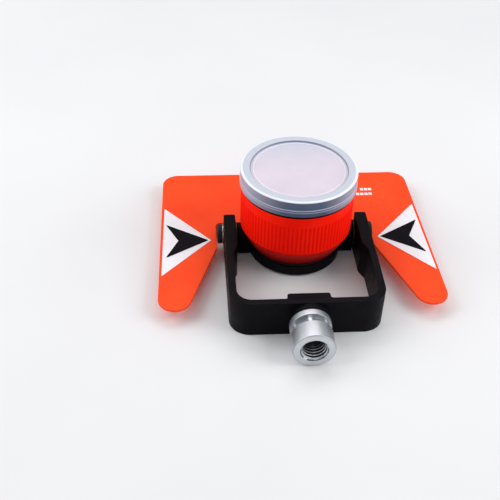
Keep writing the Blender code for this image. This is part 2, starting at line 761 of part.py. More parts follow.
def make_dust_cap(frame, finish):
    profile = [
        (0.0, CAP_RECESS_FLOOR),
        (CAP_RECESS_RADIUS, CAP_RECESS_FLOOR),
        (CAP_RECESS_RADIUS + CAP_RECESS_SLOPE, CAP_TOP),
        (CAP_RADIUS - CAP_EDGE, CAP_TOP),
        (CAP_RADIUS, CAP_TOP - CAP_EDGE),
        (CAP_RADIUS, CAP_BOTTOM),
        (CAP_BORE, CAP_BOTTOM),
        (CAP_BORE, CAP_CEILING),
        (0.0, CAP_CEILING),
    ]
    return turned("dust_cap", profile, frame, finish, closed=False)


clear_scene()
PARTS = new_collection("survey_prism")
CUTTERS = new_collection("cutters")

FINISHES = {
    "black": plain_material("black_satin", (0.012, 0.012, 0.014), 0.42),
    "aluminium": plain_material("turned_aluminium", (0.78, 0.79, 0.82), 0.25, metallic=1.0),
    "black_steel": plain_material("black_steel", (0.02, 0.02, 0.021), 0.38, metallic=0.6),
    "steel": plain_material("stainless_steel", (0.62, 0.61, 0.60), 0.28, metallic=1.0),
    "bush": plain_material("bearing_bronze", (0.60, 0.42, 0.20), 0.35, metallic=1.0),
    "plate": plain_material("orange_plate", (1.0, 0.09, 0.012), 0.45),
    "canister": plain_material("orange_canister", (1.0, 0.05, 0.006), 0.28),
    "white": plain_material("white_mark", (0.90, 0.90, 0.90), 0.5),
    "ink": plain_material("black_mark", (0.008, 0.008, 0.010), 0.5),
    "glass": plain_material("optical_glass", (0.93, 0.97, 1.0), 0.02, transmission=0.9),
    "rubber": plain_material("black_rubber", (0.02, 0.02, 0.02), 0.8),
    "cap": plain_material("frosted_cap", (0.80, 0.82, 0.88), 0.35, transmission=0.2),
}

yoke_frame = new_frame("yoke_frame")
tilt_axis = new_frame("tilt_axis")
canister_axis = new_frame("canister_axis", tilt_axis)
cap_axis = new_frame("cap_axis", canister_axis)

make_yoke(yoke_frame, FINISHES["black"])
make_pole_socket(yoke_frame, FINISHES["aluminium"])
make_socket_bolt(yoke_frame, FINISHES["black_steel"])
washer_low = COUNTERBORE_END + GAP
ring(
    "socket_washer", BOLT_HOLE_RADIUS, BOLT_HEAD_RADIUS, washer_low, washer_low + BOLT_WASHER_THICKNESS,
    yoke_frame, FINISHES["steel"], "Y", SMALL_STEPS
)
for side_name, _, side_axis in SIDES:
    make_pivot(side_name, side_axis, yoke_frame, tilt_axis, FINISHES)
make_tilt_ring(tilt_axis, FINISHES["black"])
make_target_plate(tilt_axis, FINISHES["plate"])
make_plate_screws(tilt_axis, FINISHES["steel"])
make_marks(tilt_axis, FINISHES)
make_canister_shell(canister_axis, FINISHES["canister"])
make_corner_cube(canister_axis, FINISHES["glass"])
make_canister_rings(canister_axis, FINISHES)
make_rear_cover(canister_axis, FINISHES["black"])
make_dust_cap(cap_axis, FINISHES["cap"])
bpy.context.view_layer.update()
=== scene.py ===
"""The survey prism's looks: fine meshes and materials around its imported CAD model.

Lengths are in metres. Each piece is modelled about the tilt point, where the tilt axis meets the
optical axis, and its local Z runs along the axis that it turns about. Outer sizes come from the
CAD model's boxes, and the small features that the boxes can't give are named here.
"""

import json
import math

import bmesh
import bpy
from mathutils import Euler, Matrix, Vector


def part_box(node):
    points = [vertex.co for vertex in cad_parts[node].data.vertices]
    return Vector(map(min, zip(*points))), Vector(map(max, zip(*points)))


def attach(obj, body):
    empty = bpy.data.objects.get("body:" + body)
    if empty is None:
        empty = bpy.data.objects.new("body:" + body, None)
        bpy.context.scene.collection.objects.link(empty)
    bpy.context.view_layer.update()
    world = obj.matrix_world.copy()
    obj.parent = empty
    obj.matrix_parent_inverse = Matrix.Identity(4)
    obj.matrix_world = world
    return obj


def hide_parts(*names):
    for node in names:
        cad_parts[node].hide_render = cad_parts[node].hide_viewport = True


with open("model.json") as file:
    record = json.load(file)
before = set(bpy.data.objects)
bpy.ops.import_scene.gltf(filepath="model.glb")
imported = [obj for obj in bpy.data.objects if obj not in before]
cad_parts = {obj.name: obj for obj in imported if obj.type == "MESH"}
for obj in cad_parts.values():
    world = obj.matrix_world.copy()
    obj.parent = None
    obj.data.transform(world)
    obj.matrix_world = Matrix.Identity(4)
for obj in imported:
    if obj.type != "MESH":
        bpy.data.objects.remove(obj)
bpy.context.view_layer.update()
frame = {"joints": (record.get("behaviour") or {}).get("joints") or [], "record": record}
RECORD = frame["record"]
BODY_OF = {node: body for body, nodes in RECORD["behaviour"]["bodies"].items() for node in nodes}
TILT = Vector(frame["joints"][0]["pos_m"])

MM = 0.001
WELD = 0.000001
PAST = 4.0 * MM
ROUND_STEPS = 192
SMALL_STEPS = 96
ARC_STEP_DEG = 5.0
SHARP = math.radians(32.0)
BEVEL_SAMPLES = 6
TURNS = {
    "Z": Euler(),
    "Y": Euler((-math.pi / 2.0, 0.0, 0.0)),
    "+X": Euler((0.0, math.pi / 2.0, 0.0)),
    "-X": Euler((0.0, -math.pi / 2.0, 0.0)),
}
SIDES = (("right", 1.0, "+X"), ("left", -1.0, "-X"))

# Small lengths: the roundings of edges, and how far colours take to change.
CRISP = 0.1 * MM
FINE = 0.2 * MM
SOFT = 0.3 * MM
BLUNT = 0.5 * MM
RING_EDGE = 0.15 * MM

# Yoke.
ARM_INNER_X = 43.0 * MM
ARM_HEAD_X = 39.9 * MM
ARM_TOP_RADIUS = 4.0 * MM
HEAD_BOTTOM = -27.0 * MM
HEAD_STEP = 7.0 * MM
HEAD_STEP_RADIUS = 5.0 * MM
BASE_OUTER = -82.4 * MM
BASE_INNER = -77.9 * MM
BASE_OUTER_RADIUS = 13.0 * MM
BASE_INNER_RADIUS = 9.0 * MM
PAD_HALF_WIDTH = 13.0 * MM
PAD_TOP = -73.5 * MM
BOSS_RADIUS = 12.4 * MM
BOSS_SUNK = 2.0 * MM
BOSS_EDGE = 0.6 * MM
PAD_EDGE = 1.5 * MM
YOKE_EDGE = 1.0 * MM
YOKE_EDGE_ANGLE_DEG = 50.0
BOLT_HOLE_RADIUS = 4.3 * MM
COUNTERBORE_RADIUS = 7.0 * MM
COUNTERBORE_END = -80.0 * MM
PIVOT_HOLE_RADIUS = 6.3 * MM
HOLE_CHAMFER = 0.35 * MM

# Pole socket, its 5/8 inch - 11 thread, and its bolt.
NECK_TOP = -91.4 * MM
NECK_BOTTOM = -96.6 * MM
NECK_FLAT = 9.9 * MM
NECK_CORNER = 11.1 * MM
NECK_TURN_DEG = 8.0
BARREL_EDGE = 0.45 * MM
THREAD_PITCH = 2.309 * MM
THREAD_MINOR = 6.8 * MM
THREAD_MAJOR = 7.9 * MM
THREAD_MOUTH = 8.5 * MM
THREAD_ROWS = 12
THREAD_FLAT = 0.14
BORE_END = -91.0 * MM
BOLT_RADIUS = 4.0 * MM
BOLT_PITCH = 1.25 * MM
BOLT_THREAD_DEPTH = 0.6 * MM
BOLT_THREAD_START = -81.0 * MM
BOLT_HEAD_BOTTOM = -78.2 * MM
BOLT_POINT = 1.0 * MM
BOLT_KEY_FLAT = 3.0 * MM
BOLT_KEY_DEPTH = 2.4 * MM

# Pivots.
SHOULDER_BORE = 4.15 * MM
SHOULDER_RADIUS = 4.0 * MM
BUSH_RADIUS = 6.0 * MM
BUSH_FLANGE = 0.8 * MM
PIVOT_HEAD = 3.0 * MM
PIVOT_HEAD_ROUND = 0.9 * MM
PIVOT_KEY_FLAT = 2.0 * MM
PIVOT_KEY_DEPTH = 1.4 * MM
PIVOT_THREAD_RADIUS = 2.4 * MM
PIVOT_POINT = 0.6 * MM
PIVOT_PITCH = 0.8 * MM
PIVOT_THREAD_DEPTH = 0.35 * MM
KNURL_COUNT = 40
KNURL_STEPS = 6
KNURL_DEPTH = 0.12 * MM

# Tilt ring.
RING_RADIUS = 30.5 * MM
RING_BORE = 27.0 * MM
RING_TOP = -4.4 * MM
RING_OUTER_EDGE = 0.7 * MM
RING_INNER_EDGE = 0.4 * MM
EAR_BOTTOM = -11.4 * MM
EAR_INNER_X = 28.5 * MM
EAR_RADIUS = 7.5 * MM
EAR_CORNER = 1.0 * MM
SEAT_RADIUS = 30.35 * MM
SEAT_FLOOR = -4.45 * MM
SEAT_WALL = 37.0 * MM
SEAT_HIGH = 34.0 * MM
FLANGE_RADIUS = 36.0 * MM
FLANGE_ROOT = 28.7 * MM
FLANGE_TOP = -4.5 * MM
FLANGE_BOTTOM = -7.6 * MM
FLANGE_START_DEG = 20.0
TAP_RADIUS = 2.6 * MM
TAP_END = 34.3 * MM

# Target plate, its screws and marks.
SIDE_SLOPE = 0.021
TOP_X = 88.0 * MM
TOP_RADIUS = 11.0 * MM
WING_INNER_X = 48.4 * MM
WING_INNER_SLOPE = 0.353
WING_LOBE_RADIUS = 10.4 * MM
WING_HIP_RADIUS = 6.0 * MM
SLOT_OUTER_X = 52.3 * MM
SLOT_INNER_X = 38.2 * MM
SLOT_TOP = 15.0 * MM
SLOT_CORNER_RADIUS = 4.0 * MM
SLOT_EDGE_RADIUS = 1.5 * MM
EAR_NOTCH_Y = 8.2 * MM
EAR_NOTCH_RADIUS = 0.5 * MM
DISC_RADIUS = 30.0 * MM
DISC_BORE = 27.2 * MM
PLATE_EDGE = 0.35 * MM
SCREW_HOLE_RADIUS = 1.3 * MM
SCREW_RADIUS = 1.0 * MM
SCREW_PITCH = 0.4 * MM
SCREW_THREAD_DEPTH = 0.16 * MM
SCREW_HEAD = 1.2 * MM
SCREW_HEAD_ROUND = 0.7 * MM
CROSS_WIDTH = 0.5 * MM
CROSS_LENGTH = 2.1 * MM
CROSS_DEPTH = 0.7 * MM
MARK_CENTRE_Y = -3.8 * MM
PANEL_OUTER_BOTTOM = -38.5 * MM
PANEL_OUTER_TOP = 31.5 * MM
PANEL_LEAN = 1.7 * MM
ARROW_NOTCH_X = 77.7 * MM
MARK_CORNER = 0.35 * MM
MARK_EDGE = 0.06 * MM
# Each row of plain blocks: its height on the target, then where its blocks start.
BLOCK_ROWS = (
    (50.2 * MM, (53.0 * MM, 55.9 * MM, 58.8 * MM)),
    (44.6 * MM, (49.3 * MM, 52.3 * MM, 55.3 * MM, 58.3 * MM)),
)
BLOCK_LENGTH = 2.4 * MM
BLOCK_HALF_HEIGHT = 1.35 * MM
BLOCK_THICKNESS = 0.1 * MM

# Canister, glass and rings.
RIB_TOP = 33.6 * MM
RIB_BOTTOM = 11.0 * MM
RIB_COUNT = 88
RIB_DEPTH = 0.4 * MM
RIB_RUN_OUT = 2.6 * MM
RIB_END = 1.0 * MM
RIB_STEPS = 12
RIB_END_ROWS = 8
RIB_SHARPNESS = 2.5
CONE_TOP = 10.4 * MM
CONE_TOP_ROUND = 0.8 * MM
CONE_BOTTOM_RADIUS = 30.0 * MM
CONE_BOTTOM = -2.2 * MM
NECK_RADIUS = 26.7 * MM
NECK_BORE = 23.5 * MM
GLASS_BORE = 31.8 * MM
GLASS_FLOOR = 12.8 * MM
GLASS_FLOOR_EDGE = 0.4 * MM
LIP_RADIUS = 34.3 * MM
LIP_FLOOR = 48.3 * MM
CAN_EDGE = 0.6 * MM
GROOVE_UNDER_CAP = 0.2 * MM
LIP_GROOVE_HEIGHT = 1.9 * MM
LIP_GROOVE_DEPTH = 0.5 * MM
CUBE_SIZE = 90.0 * MM
GLASS_STEPS = 180
GLASS_EDGE = 0.5 * MM
GLASS_EDGE_ANGLE_DEG = 30.0
RING_BORE_EDGE = 29.6 * MM
NOTCH_WIDTH = 3.0 * MM
NOTCH_DEPTH = 0.9 * MM
CUSHION_INNER = 24.0 * MM
CUSHION_EDGE = 0.6 * MM
COVER_SPIGOT = 23.2 * MM
COVER_SPIGOT_BORE = 20.5 * MM
COVER_FLANGE_TOP = -10.7 * MM
GROOVE_RADIUS = 18.5 * MM
COVER_GROOVE = 0.4 * MM
COVER_EDGE = 0.4 * MM
COIN_SLOT_LENGTH = 30.0 * MM
COIN_SLOT_WIDTH = 3.0 * MM
COIN_SLOT_DEPTH = 1.0 * MM

# Dust cap.
CAP_BORE = 36.95 * MM
CAP_CEILING = 50.7 * MM
RECESS_RADIUS = 31.1 * MM
RECESS_FLOOR = 51.4 * MM
CAP_RING_RADIUS = 29.2 * MM
CAP_RING = 0.25 * MM
CAP_EDGE = 0.7 * MM
CAP_STEP_HEIGHTS = (4.9 * MM, 3.4 * MM)
CAP_STEP = 0.26 * MM
CAP_STEP_EDGE = 0.05 * MM
CAP_FOOT = 0.25 * MM
CAP_BORE_EDGE = 0.12 * MM
CAP_FLARE = 0.4 * MM

# Camera and stage.
CAMERA_PLACE = Vector((-71.4, -437.4, 383.9)) * MM
CAMERA_YAW_DEG = 5.25
CAMERA_PITCH_DEG = 40.107
CAMERA_ROLL_DEG = 2.005
CAMERA_LENS = 63.48
FLOOR_SIZE = 40.0
WORLD_COLOUR = (0.92, 0.95, 1.0, 1.0)
WORLD_STRENGTH = 0.30
# Each light: its name, its place from the tilt point, its width and height, and its power in watts.
LIGHTS = (
    ("left_softbox", Vector((-0.95, 0.10, 0.75)), 0.9, 0.9, 7.5),
    ("right_softbox", Vector((0.95, -0.20, 0.66)), 0.8, 0.9, 8.3),
    ("top_softbox", Vector((0.0, 0.75, 1.20)), 1.4, 0.7, 6.0),
    ("front_fill", Vector((-0.15, -1.30, 0.80)), 0.7, 0.5, 1.2),
)


def reach(node):
    """A CAD node's lowest and highest corners, measured from the tilt point."""
    low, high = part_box(node)
    return low - TILT, high - TILT


def arc(radius, start_deg, end_deg, centre=(0.0, 0.0), steps=0):
    steps = steps or max(3, round(abs(end_deg - start_deg) / ARC_STEP_DEG))
    points = []
    for i in range(steps + 1):
        angle = math.radians(start_deg + (end_deg - start_deg) * i / steps)
        points.append((centre[0] + radius * math.cos(angle), centre[1] + radius * math.sin(angle)))
    return points


def circle(radius, centre=(0.0, 0.0), steps=SMALL_STEPS):
    return arc(radius, 0.0, 360.0 * (steps - 1) / steps, centre, steps - 1)


def hexagon(flat_radius):
    return arc(flat_radius / math.cos(math.pi / 6.0), 90.0, 390.0, steps=5)


def spun(point, angle):
    """A flat point turned about the origin."""
    cos, sin = math.cos(angle), math.sin(angle)
    return point[0] * cos - point[1] * sin, point[0] * sin + point[1] * cos


def rounded(corners):
    """A closed outline or profile from (x, y, radius) corners, each rounded by its own radius."""
    outline = []
    for i, (x, y, radius) in enumerate(corners):
        corner = Vector((x, y))
        if radius == 0.0:
            outline.append((x, y))
            continue
        back = (Vector(corners[i - 1][:2]) - corner).normalized()
        ahead = (Vector(corners[(i + 1) % len(corners)][:2]) - corner).normalized()
        half = back.angle(ahead) / 2.0
        centre = corner + (back + ahead).normalized() * (radius / math.sin(half))
        first = corner + back * (radius / math.tan(half)) - centre
        turn = math.pi - 2.0 * half
        if back.x * ahead.y - back.y * ahead.x > 0.0:
            turn = -turn
        steps = max(3, round(abs(math.degrees(turn)) / (2.0 * ARC_STEP_DEG)))
        if radius > HEAD_STEP_RADIUS / 2.0:
            steps *= 3
        for k in range(steps + 1):
            across, along = spun(first, turn * k / steps)
            outline.append((centre.x + across, centre.y + along))
    return outline


def rectangle(x1, x2, y1, y2, radius=0.0):
    return rounded([(x1, y1, radius), (x2, y1, radius), (x2, y2, radius), (x1, y2, radius)])


def from_axis(corners):
    """The profile of a solid turned piece: rounded corners, joined to the axis at both ends."""
    return rounded([(0.0, corners[0][1], 0.0)] + corners + [(0.0, corners[-1][1], 0.0)])


def mirrored(corners):
    return [(-x, y, radius) for x, y, radius in reversed(corners)]


def add(name, data):
    """A new object in the scene."""
    thing = bpy.data.objects.new(name, data)
    bpy.context.scene.collection.objects.link(thing)
    return thing


def smooth(mesh):
    """Shade a mesh smooth where its faces meet gently."""
    mesh.shade_smooth()
    mesh.set_sharp_from_angle(angle=SHARP)


def final_mesh(thing):
    """An object's mesh with its curve or modifiers worked out."""
    bpy.context.view_layer.update()
    graph = bpy.context.evaluated_depsgraph_get()
    return bpy.data.meshes.new_from_object(thing.evaluated_get(graph))


def new_piece(name, shape, material, axis="Z"):
    """The object made from a bmesh, at the tilt point and turned to its axis."""
    bmesh.ops.remove_doubles(shape, verts=shape.verts, dist=WELD)
    bmesh.ops.recalc_face_normals(shape, faces=shape.faces)
    mesh = bpy.data.meshes.new(name)
    shape.to_mesh(mesh)
    shape.free()
    smooth(mesh)
    if material is not None:
        mesh.materials.append(material)
    piece = add(name, mesh)
    piece.location = TILT
    piece.rotation_euler = TURNS[axis]
    return piece


def turned(name, profile, material, axis="Z", steps=ROUND_STEPS, radius_at=None):
    """Turn a closed profile of (radius, height) points; radius_at may reshape each point."""
    shape = bmesh.new()
    rows = []
    for k in range(steps):
        angle = 2.0 * math.pi * k / steps
        row = []
        for radius, height in profile:
            if radius_at is not None and radius > 0.0:
                radius = radius_at(angle, radius, height)
            row.append(shape.verts.new((radius * math.cos(angle), radius * math.sin(angle), height)))
        rows.append(row)
    for k in range(steps):
        this_row = rows[k]
        next_row = rows[(k + 1) % steps]
        for i in range(len(profile)):
            j = (i + 1) % len(profile)
            if profile[i][0] > 0.0 or profile[j][0] > 0.0:
                shape.faces.new((this_row[i], next_row[i], next_row[j], this_row[j]))
    return new_piece(name, shape, material, axis)


def slab(name, outlines, low, high, material, axis="Z", edge=0.0):
    """A flat piece from closed outlines: its edge, then any holes. Its rims are rounded by edge."""
    curve = bpy.data.curves.new(name, "CURVE")
    curve.dimensions = "2D"
    curve.fill_mode = "BOTH"
    curve.extrude = (high - low) / 2.0 - edge
    curve.bevel_depth = edge
    curve.bevel_resolution = 2
    curve.offset = -edge
    for outline in outlines:
        spline = curve.splines.new("POLY")
        spline.points.add(len(outline) - 1)
        for point, (x, y) in zip(spline.points, outline):
            point.co = (x, y, 0.0, 1.0)
        spline.use_cyclic_u = True
    guide = add(name + "_outline", curve)
    mesh = final_mesh(guide)
    bpy.data.objects.remove(guide, do_unlink=True)
    shape = bmesh.new()
    shape.from_mesh(mesh)
    bmesh.ops.remove_doubles(shape, verts=shape.verts, dist=WELD)
    bmesh.ops.translate(shape, verts=shape.verts, vec=(0.0, 0.0, (low + high) / 2.0))
    if len(outlines) == 1 and edge == 0.0:
        flat = math.radians(1.0)
        bmesh.ops.dissolve_limit(shape, angle_limit=flat, verts=shape.verts, edges=shape.edges)
    return new_piece(name, shape, material, axis)


def combine(piece, tool, operation):
    boolean = piece.modifiers.new(tool.name, "BOOLEAN")
    boolean.operation = operation
    boolean.solver = "EXACT"
    boolean.object = tool
    tool.hide_render = True


def cut(piece, tool):
    combine(piece, tool, "DIFFERENCE")


def soften(piece, width, angle_deg, segments):
    """Bevel the edges that bend by more than an angle."""
    bevel = piece.modifiers.new("edges", "BEVEL")
    bevel.width = width
    bevel.segments = segments
    bevel.limit_method = "ANGLE"
    bevel.angle_limit = math.radians(angle_deg)


def settle(piece):
    """Apply a piece's modifiers and remove the tools that cut it."""
    mesh = final_mesh(piece)
    tools = [modifier.object for modifier in piece.modifiers if modifier.type == "BOOLEAN"]
    piece.modifiers.clear()
    piece.data = mesh
    smooth(mesh)
    for tool in tools:
        bpy.data.objects.remove(tool, do_unlink=True)
    return piece


def drill(name, radius, low, high, axis="Z", chamfer=0.0):
    """A round cutter, flared at both ends of the wall from low to high."""
    if chamfer == 0.0:
        corners = rectangle(0.0, radius, high, low)
    else:
        corners = [
            (0.0, high + PAST),
            (radius + chamfer + PAST, high + PAST),
            (radius, high - chamfer),
            (radius, low + chamfer),
            (radius + chamfer + PAST, low - PAST),
            (0.0, low - PAST),
        ]
    return turned(name, corners, None, axis, SMALL_STEPS)


def stand_for(piece, node):
    """The piece is what is seen of a CAD node, and moves with the node's body."""
    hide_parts(node)
    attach(piece, BODY_OF[node])


# Materials.


class Look:
    """A Principled material and the few node patterns that the finishes share."""

    def __init__(self, name, **constants):
        self.material = bpy.data.materials.new(name)
        self.material.use_nodes = True
        self.tree = self.material.node_tree
        self.shader = self.tree.nodes["Principled BSDF"]
        self.fill(self.shader, constants)
        self.place = self.node("ShaderNodeTexCoord").outputs["Object"]

    def feed(self, source, socket):
        """Link one socket to another, or set it to a number or a colour."""
        if isinstance(source, bpy.types.NodeSocket):
            self.tree.links.new(source, socket)
        elif socket.type == "RGBA":
            socket.default_value = (*source, 1.0)
        else:
            socket.default_value = source

    def fill(self, made, values):
        """Feed a node's sockets and set its options. In a socket's name, _ stands for a space."""
        for key, value in values.items():
            socket = made.inputs.get(key.replace("_", " "))
            if socket is None:
                setattr(made, key, value)
            else:
                self.feed(value, socket)

    def node(self, kind, **values):
        made = self.tree.nodes.new(kind)
        self.fill(made, values)
        return made

    def noise(self, size, detail=3.0, rough=0.55, place=None):
        """Noise with features about size metres across."""
        values = {"Scale": 1.0 / size, "Detail": detail, "Roughness": rough}
        made = self.node("ShaderNodeTexNoise", Vector=place or self.place, **values)
        return made.outputs["Fac"]

    def spread(self, source, low, high, start=0.3, end=0.7):
        """A value spread linearly from low to high."""
        limits = {"From Min": start, "From Max": end, "To Min": low, "To Max": high}
        return self.node("ShaderNodeMapRange", Value=source, **limits).outputs["Result"]

    def blend(self, factor, first, second):
        """One colour over another by a factor; each is a socket or three numbers."""
        made = self.node("ShaderNodeMix", data_type="RGBA")
        sockets = [socket for socket in made.inputs if socket.type == "RGBA"]
        self.feed(factor, made.inputs[0])
        self.feed(first, sockets[0])
        self.feed(second, sockets[1])
        return [socket for socket in made.outputs if socket.type == "RGBA"][0]

    def sums(self, operation, first, second):
        made = self.node("ShaderNodeMath", operation=operation)
        self.feed(first, made.inputs[0])
        self.feed(second, made.inputs[1])
        return made.outputs[0]

    def axes(self):
        split = self.node("ShaderNodeSeparateXYZ", Vector=self.place)
        return split.outputs["X"], split.outputs["Y"], split.outputs["Z"]

    def rings(self):
        """Coordinates that are the same all the way round the piece's own axis."""
        across, along, height = self.axes()
        flat = self.node("ShaderNodeCombineXYZ", X=across, Y=along).outputs[0]
        radius = self.node("ShaderNodeVectorMath", operation="LENGTH", Vector=flat).outputs["Value"]
        place = self.node("ShaderNodeCombineXYZ", X=radius, Z=height).outputs[0]
        return place, radius, height

    def times(self, first, second):
        return self.sums("MULTIPLY", first, second)

    def below(self, source, high, fade):
        """1 where a value is under high, falling to 0 over fade."""
        return self.spread(source, 1.0, 0.0, high, high + fade)

    def within(self, source, low, high, fade):
        """1 where a value is between low and high, falling to 0 over fade."""
        rise = self.spread(source, 0.0, 1.0, low - fade, low)
        return self.times(rise, self.below(source, high, fade))

    def mottle(self, source, first, second):
        """Two colours mixed by a noise."""
        return self.blend(self.spread(source, 0.0, 1.0), first, second)

    def rubbed(self, tone, bare, radius, gain):
        """A colour that gives way to a bare one, in patches, where an outer edge is sharp."""
        soft = self.node("ShaderNodeBevel", Radius=radius, samples=BEVEL_SAMPLES).outputs[0]
        dot = self.node("ShaderNodeVectorMath", operation="DOT_PRODUCT", Vector=soft)
        self.feed(self.node("ShaderNodeNewGeometry").outputs["Normal"], dot.inputs[1])
        bend = self.sums("SUBTRACT", 1.0, dot.outputs["Value"])
        patchy = self.times(bend, self.noise(1.2 * MM))
        made = self.node("ShaderNodeClamp", Value=self.times(patchy, gain))
        return self.blend(made.outputs[0], tone, bare)

    def bump(self, *layers, soft=0.0):
        """Stack (height, depth in metres, strength) layers, over normals that soften each edge."""
        normal = None
        if soft > 0.0:
            normal = self.node("ShaderNodeBevel", Radius=soft, samples=BEVEL_SAMPLES).outputs[0]
        for height, depth, strength in layers:
            made = self.node("ShaderNodeBump", Strength=strength, Distance=depth, Height=height)
            if normal is not None:
                self.feed(normal, made.inputs["Normal"])
            normal = made.outputs[0]
        self.feed(normal, self.shader.inputs["Normal"])

    def colour(self, source):
        self.feed(source, self.shader.inputs["Base Color"])

    def roughness(self, source):
        self.feed(source, self.shader.inputs["Roughness"])

    def uneven(self, size, low, high, detail=3.0):
        """Roughness that drifts from low to high over patches about size metres across."""
        self.roughness(self.spread(self.noise(size, detail), low, high))


def black_satin():
    """Black anodised, bead-blasted aluminium, rubbed a little lighter on its edges."""
    look = Look("black_satin", Specular_IOR_Level=0.06)
    cloud = look.noise(14.0 * MM, detail=4.0)
    tone = look.mottle(cloud, (0.0028, 0.0026, 0.0036), (0.0055, 0.0050, 0.0066))
    look.colour(look.rubbed(tone, (0.035, 0.034, 0.040), 0.5 * MM, 1.6))
    look.uneven(5.0 * MM, 0.40, 0.54)
    grain = (look.noise(0.28 * MM, detail=2.0), 0.03 * MM, 0.35)
    look.bump(grain, (look.noise(3.0 * MM), 0.05 * MM, 0.12), soft=0.35 * MM)
    return look.material


def turned_metal(name, colour, rough_low, rough_high, groove):
    """Lathe-turned metal: fine grooves round the piece's axis, and faint handling marks."""
    look = Look(name, Metallic=1.0, Anisotropic=0.2)
    place, _, _ = look.rings()
    lines = look.noise(groove, detail=4.0, rough=0.7, place=place)
    bands = look.noise(groove * 9.0, detail=2.0, place=place)
    smudge = look.noise(6.0 * MM, detail=4.0)
    tone = look.mottle(lines, tuple(0.84 * part for part in colour), colour)
    look.colour(tone)
    rough = look.spread(lines, rough_low, rough_high)
    look.roughness(look.sums("ADD", rough, look.spread(smudge, 0.0, 0.06)))
    tangent = look.node("ShaderNodeTangent", direction_type="RADIAL", axis="Z")
    look.feed(tangent.outputs[0], look.shader.inputs["Tangent"])
    look.bump((lines, 0.012 * MM, 0.30), (bands, 0.03 * MM, 0.15), soft=0.12 * MM)
    return look, tone


def socket_aluminium():
    """Bright turned aluminium, with painted light: painted shade on the milled neck's flats and a painted
    highlight on their corners, painted shade on the barrel's rims, painted reflections on the mouth's
    chamfer, and painted shade in the bore with painted highlights on the thread's crests.
    """
    look, tone = turned_metal("turned_aluminium", (0.70, 0.715, 0.755), 0.34, 0.46, 0.11 * MM)
    _, radius, height = look.rings()
    low, high = reach("pole_socket")
    end = low.y
    # Painted shade on the neck's hex flats and a painted highlight on their corners.
    milled = look.within(height, NECK_BOTTOM + CRISP, NECK_TOP - CRISP, CRISP)
    on_neck = look.below(radius, NECK_CORNER + CRISP, SOFT)
    corner = look.spread(radius, 0.0, 1.0, NECK_CORNER - 0.45 * MM, NECK_CORNER - CRISP)
    neck = look.blend(corner, (0.33, 0.36, 0.39), (0.92, 0.94, 0.97))
    tone = look.blend(look.times(milled, on_neck), tone, neck)
    # Painted shade: the barrel's rounded rims are drawn darker.
    rim = look.within(radius, high.x - 0.42 * MM, high.x - CRISP, CRISP)
    tone = look.blend(look.times(rim, 0.6), tone, (0.22, 0.23, 0.25))
    # Painted reflections: the mouth's chamfer is drawn in dark and bright patches.
    mouth = look.within(radius, THREAD_MAJOR, THREAD_MOUTH - 0.05 * MM, CRISP)
    chamfer_reflections = look.spread(look.noise(3.0 * MM, detail=1.0), 0.0, 1.0, 0.50, 0.58)
    tone = look.blend(mouth, tone, look.blend(chamfer_reflections, (0.14, 0.17, 0.19), (0.90, 0.93, 0.96)))
    # Painted shade deep in the bore, with painted highlights on the thread's crests near its mouth.
    inside = look.below(radius, THREAD_MAJOR, CRISP)
    deep = look.spread(height, 0.0, 1.0, end + 1.2 * MM, end + 1.8 * MM)
    crest = look.within(radius, THREAD_MINOR - 0.05 * MM, THREAD_MINOR + 0.15 * MM, SOFT)
    near_end = look.below(height, end + 4.0 * MM, 7.0 * MM)
    bore = look.blend(look.times(crest, near_end), (0.030, 0.034, 0.040), (0.85, 0.87, 0.92))
    look.colour(look.blend(look.times(inside, deep), tone, bore))
    return look.material


def black_steel():
    """Oil-blackened steel, bright where its edges are rubbed."""
    look = Look("black_steel", Specular_IOR_Level=0.25)
    tone = look.mottle(look.noise(2.0 * MM), (0.006, 0.006, 0.007), (0.013, 0.012, 0.012))
    look.colour(look.rubbed(tone, (0.10, 0.095, 0.09), 0.25 * MM, 2.5))
    look.uneven(1.0 * MM, 0.32, 0.48)
    look.bump((look.noise(0.2 * MM), 0.01 * MM, 0.4), soft=0.15 * MM)
    return look.material


def bearing_bronze():
    """Sintered bronze, dark with oil: its pores are darker than the metal."""
    look = Look("bearing_bronze", Metallic=1.0)
    pores = look.node("ShaderNodeTexVoronoi", Scale=1.0 / (0.35 * MM), Vector=look.place)
    near = look.spread(pores.outputs["Distance"], 0.0, 1.0, 0.12, 0.45)
    look.colour(look.blend(near, (0.03, 0.02, 0.011), (0.12, 0.075, 0.035)))
    look.uneven(1.5 * MM, 0.38, 0.55)
    look.bump((near, 0.02 * MM, 0.35), soft=0.1 * MM)
    return look.material


def orange_plate():
    """Fluorescent powder coat on sheet aluminium, masked off black round the plate's bore."""
    # The emission is a painted glow that stands in for the coat's fluorescence.
    look = Look("orange_plate", Specular_IOR_Level=0.12, Emission_Strength=0.10)
    speck = look.noise(0.5 * MM, detail=2.0)
    tone = look.mottle(look.noise(30.0 * MM, detail=4.0), (0.97, 0.062, 0.012), (1.0, 0.082, 0.016))
    fine = look.blend(look.spread(speck, 0.0, 0.16), tone, (0.88, 0.050, 0.009))
    worn = look.rubbed(fine, (1.0, 0.20, 0.09), 0.3 * MM, 1.0)
    _, radius, _ = look.rings()
    masked = look.below(radius, DISC_RADIUS + CRISP, SOFT)
    coat = look.blend(masked, worn, (0.005, 0.004, 0.005))
    look.colour(coat)
    look.feed(coat, look.shader.inputs["Emission Color"])
    look.uneven(4.0 * MM, 0.44, 0.56)
    look.bump((look.noise(1.1 * MM, detail=2.0), 0.05 * MM, 0.22), (speck, 0.01 * MM, 0.25))
    return look.material


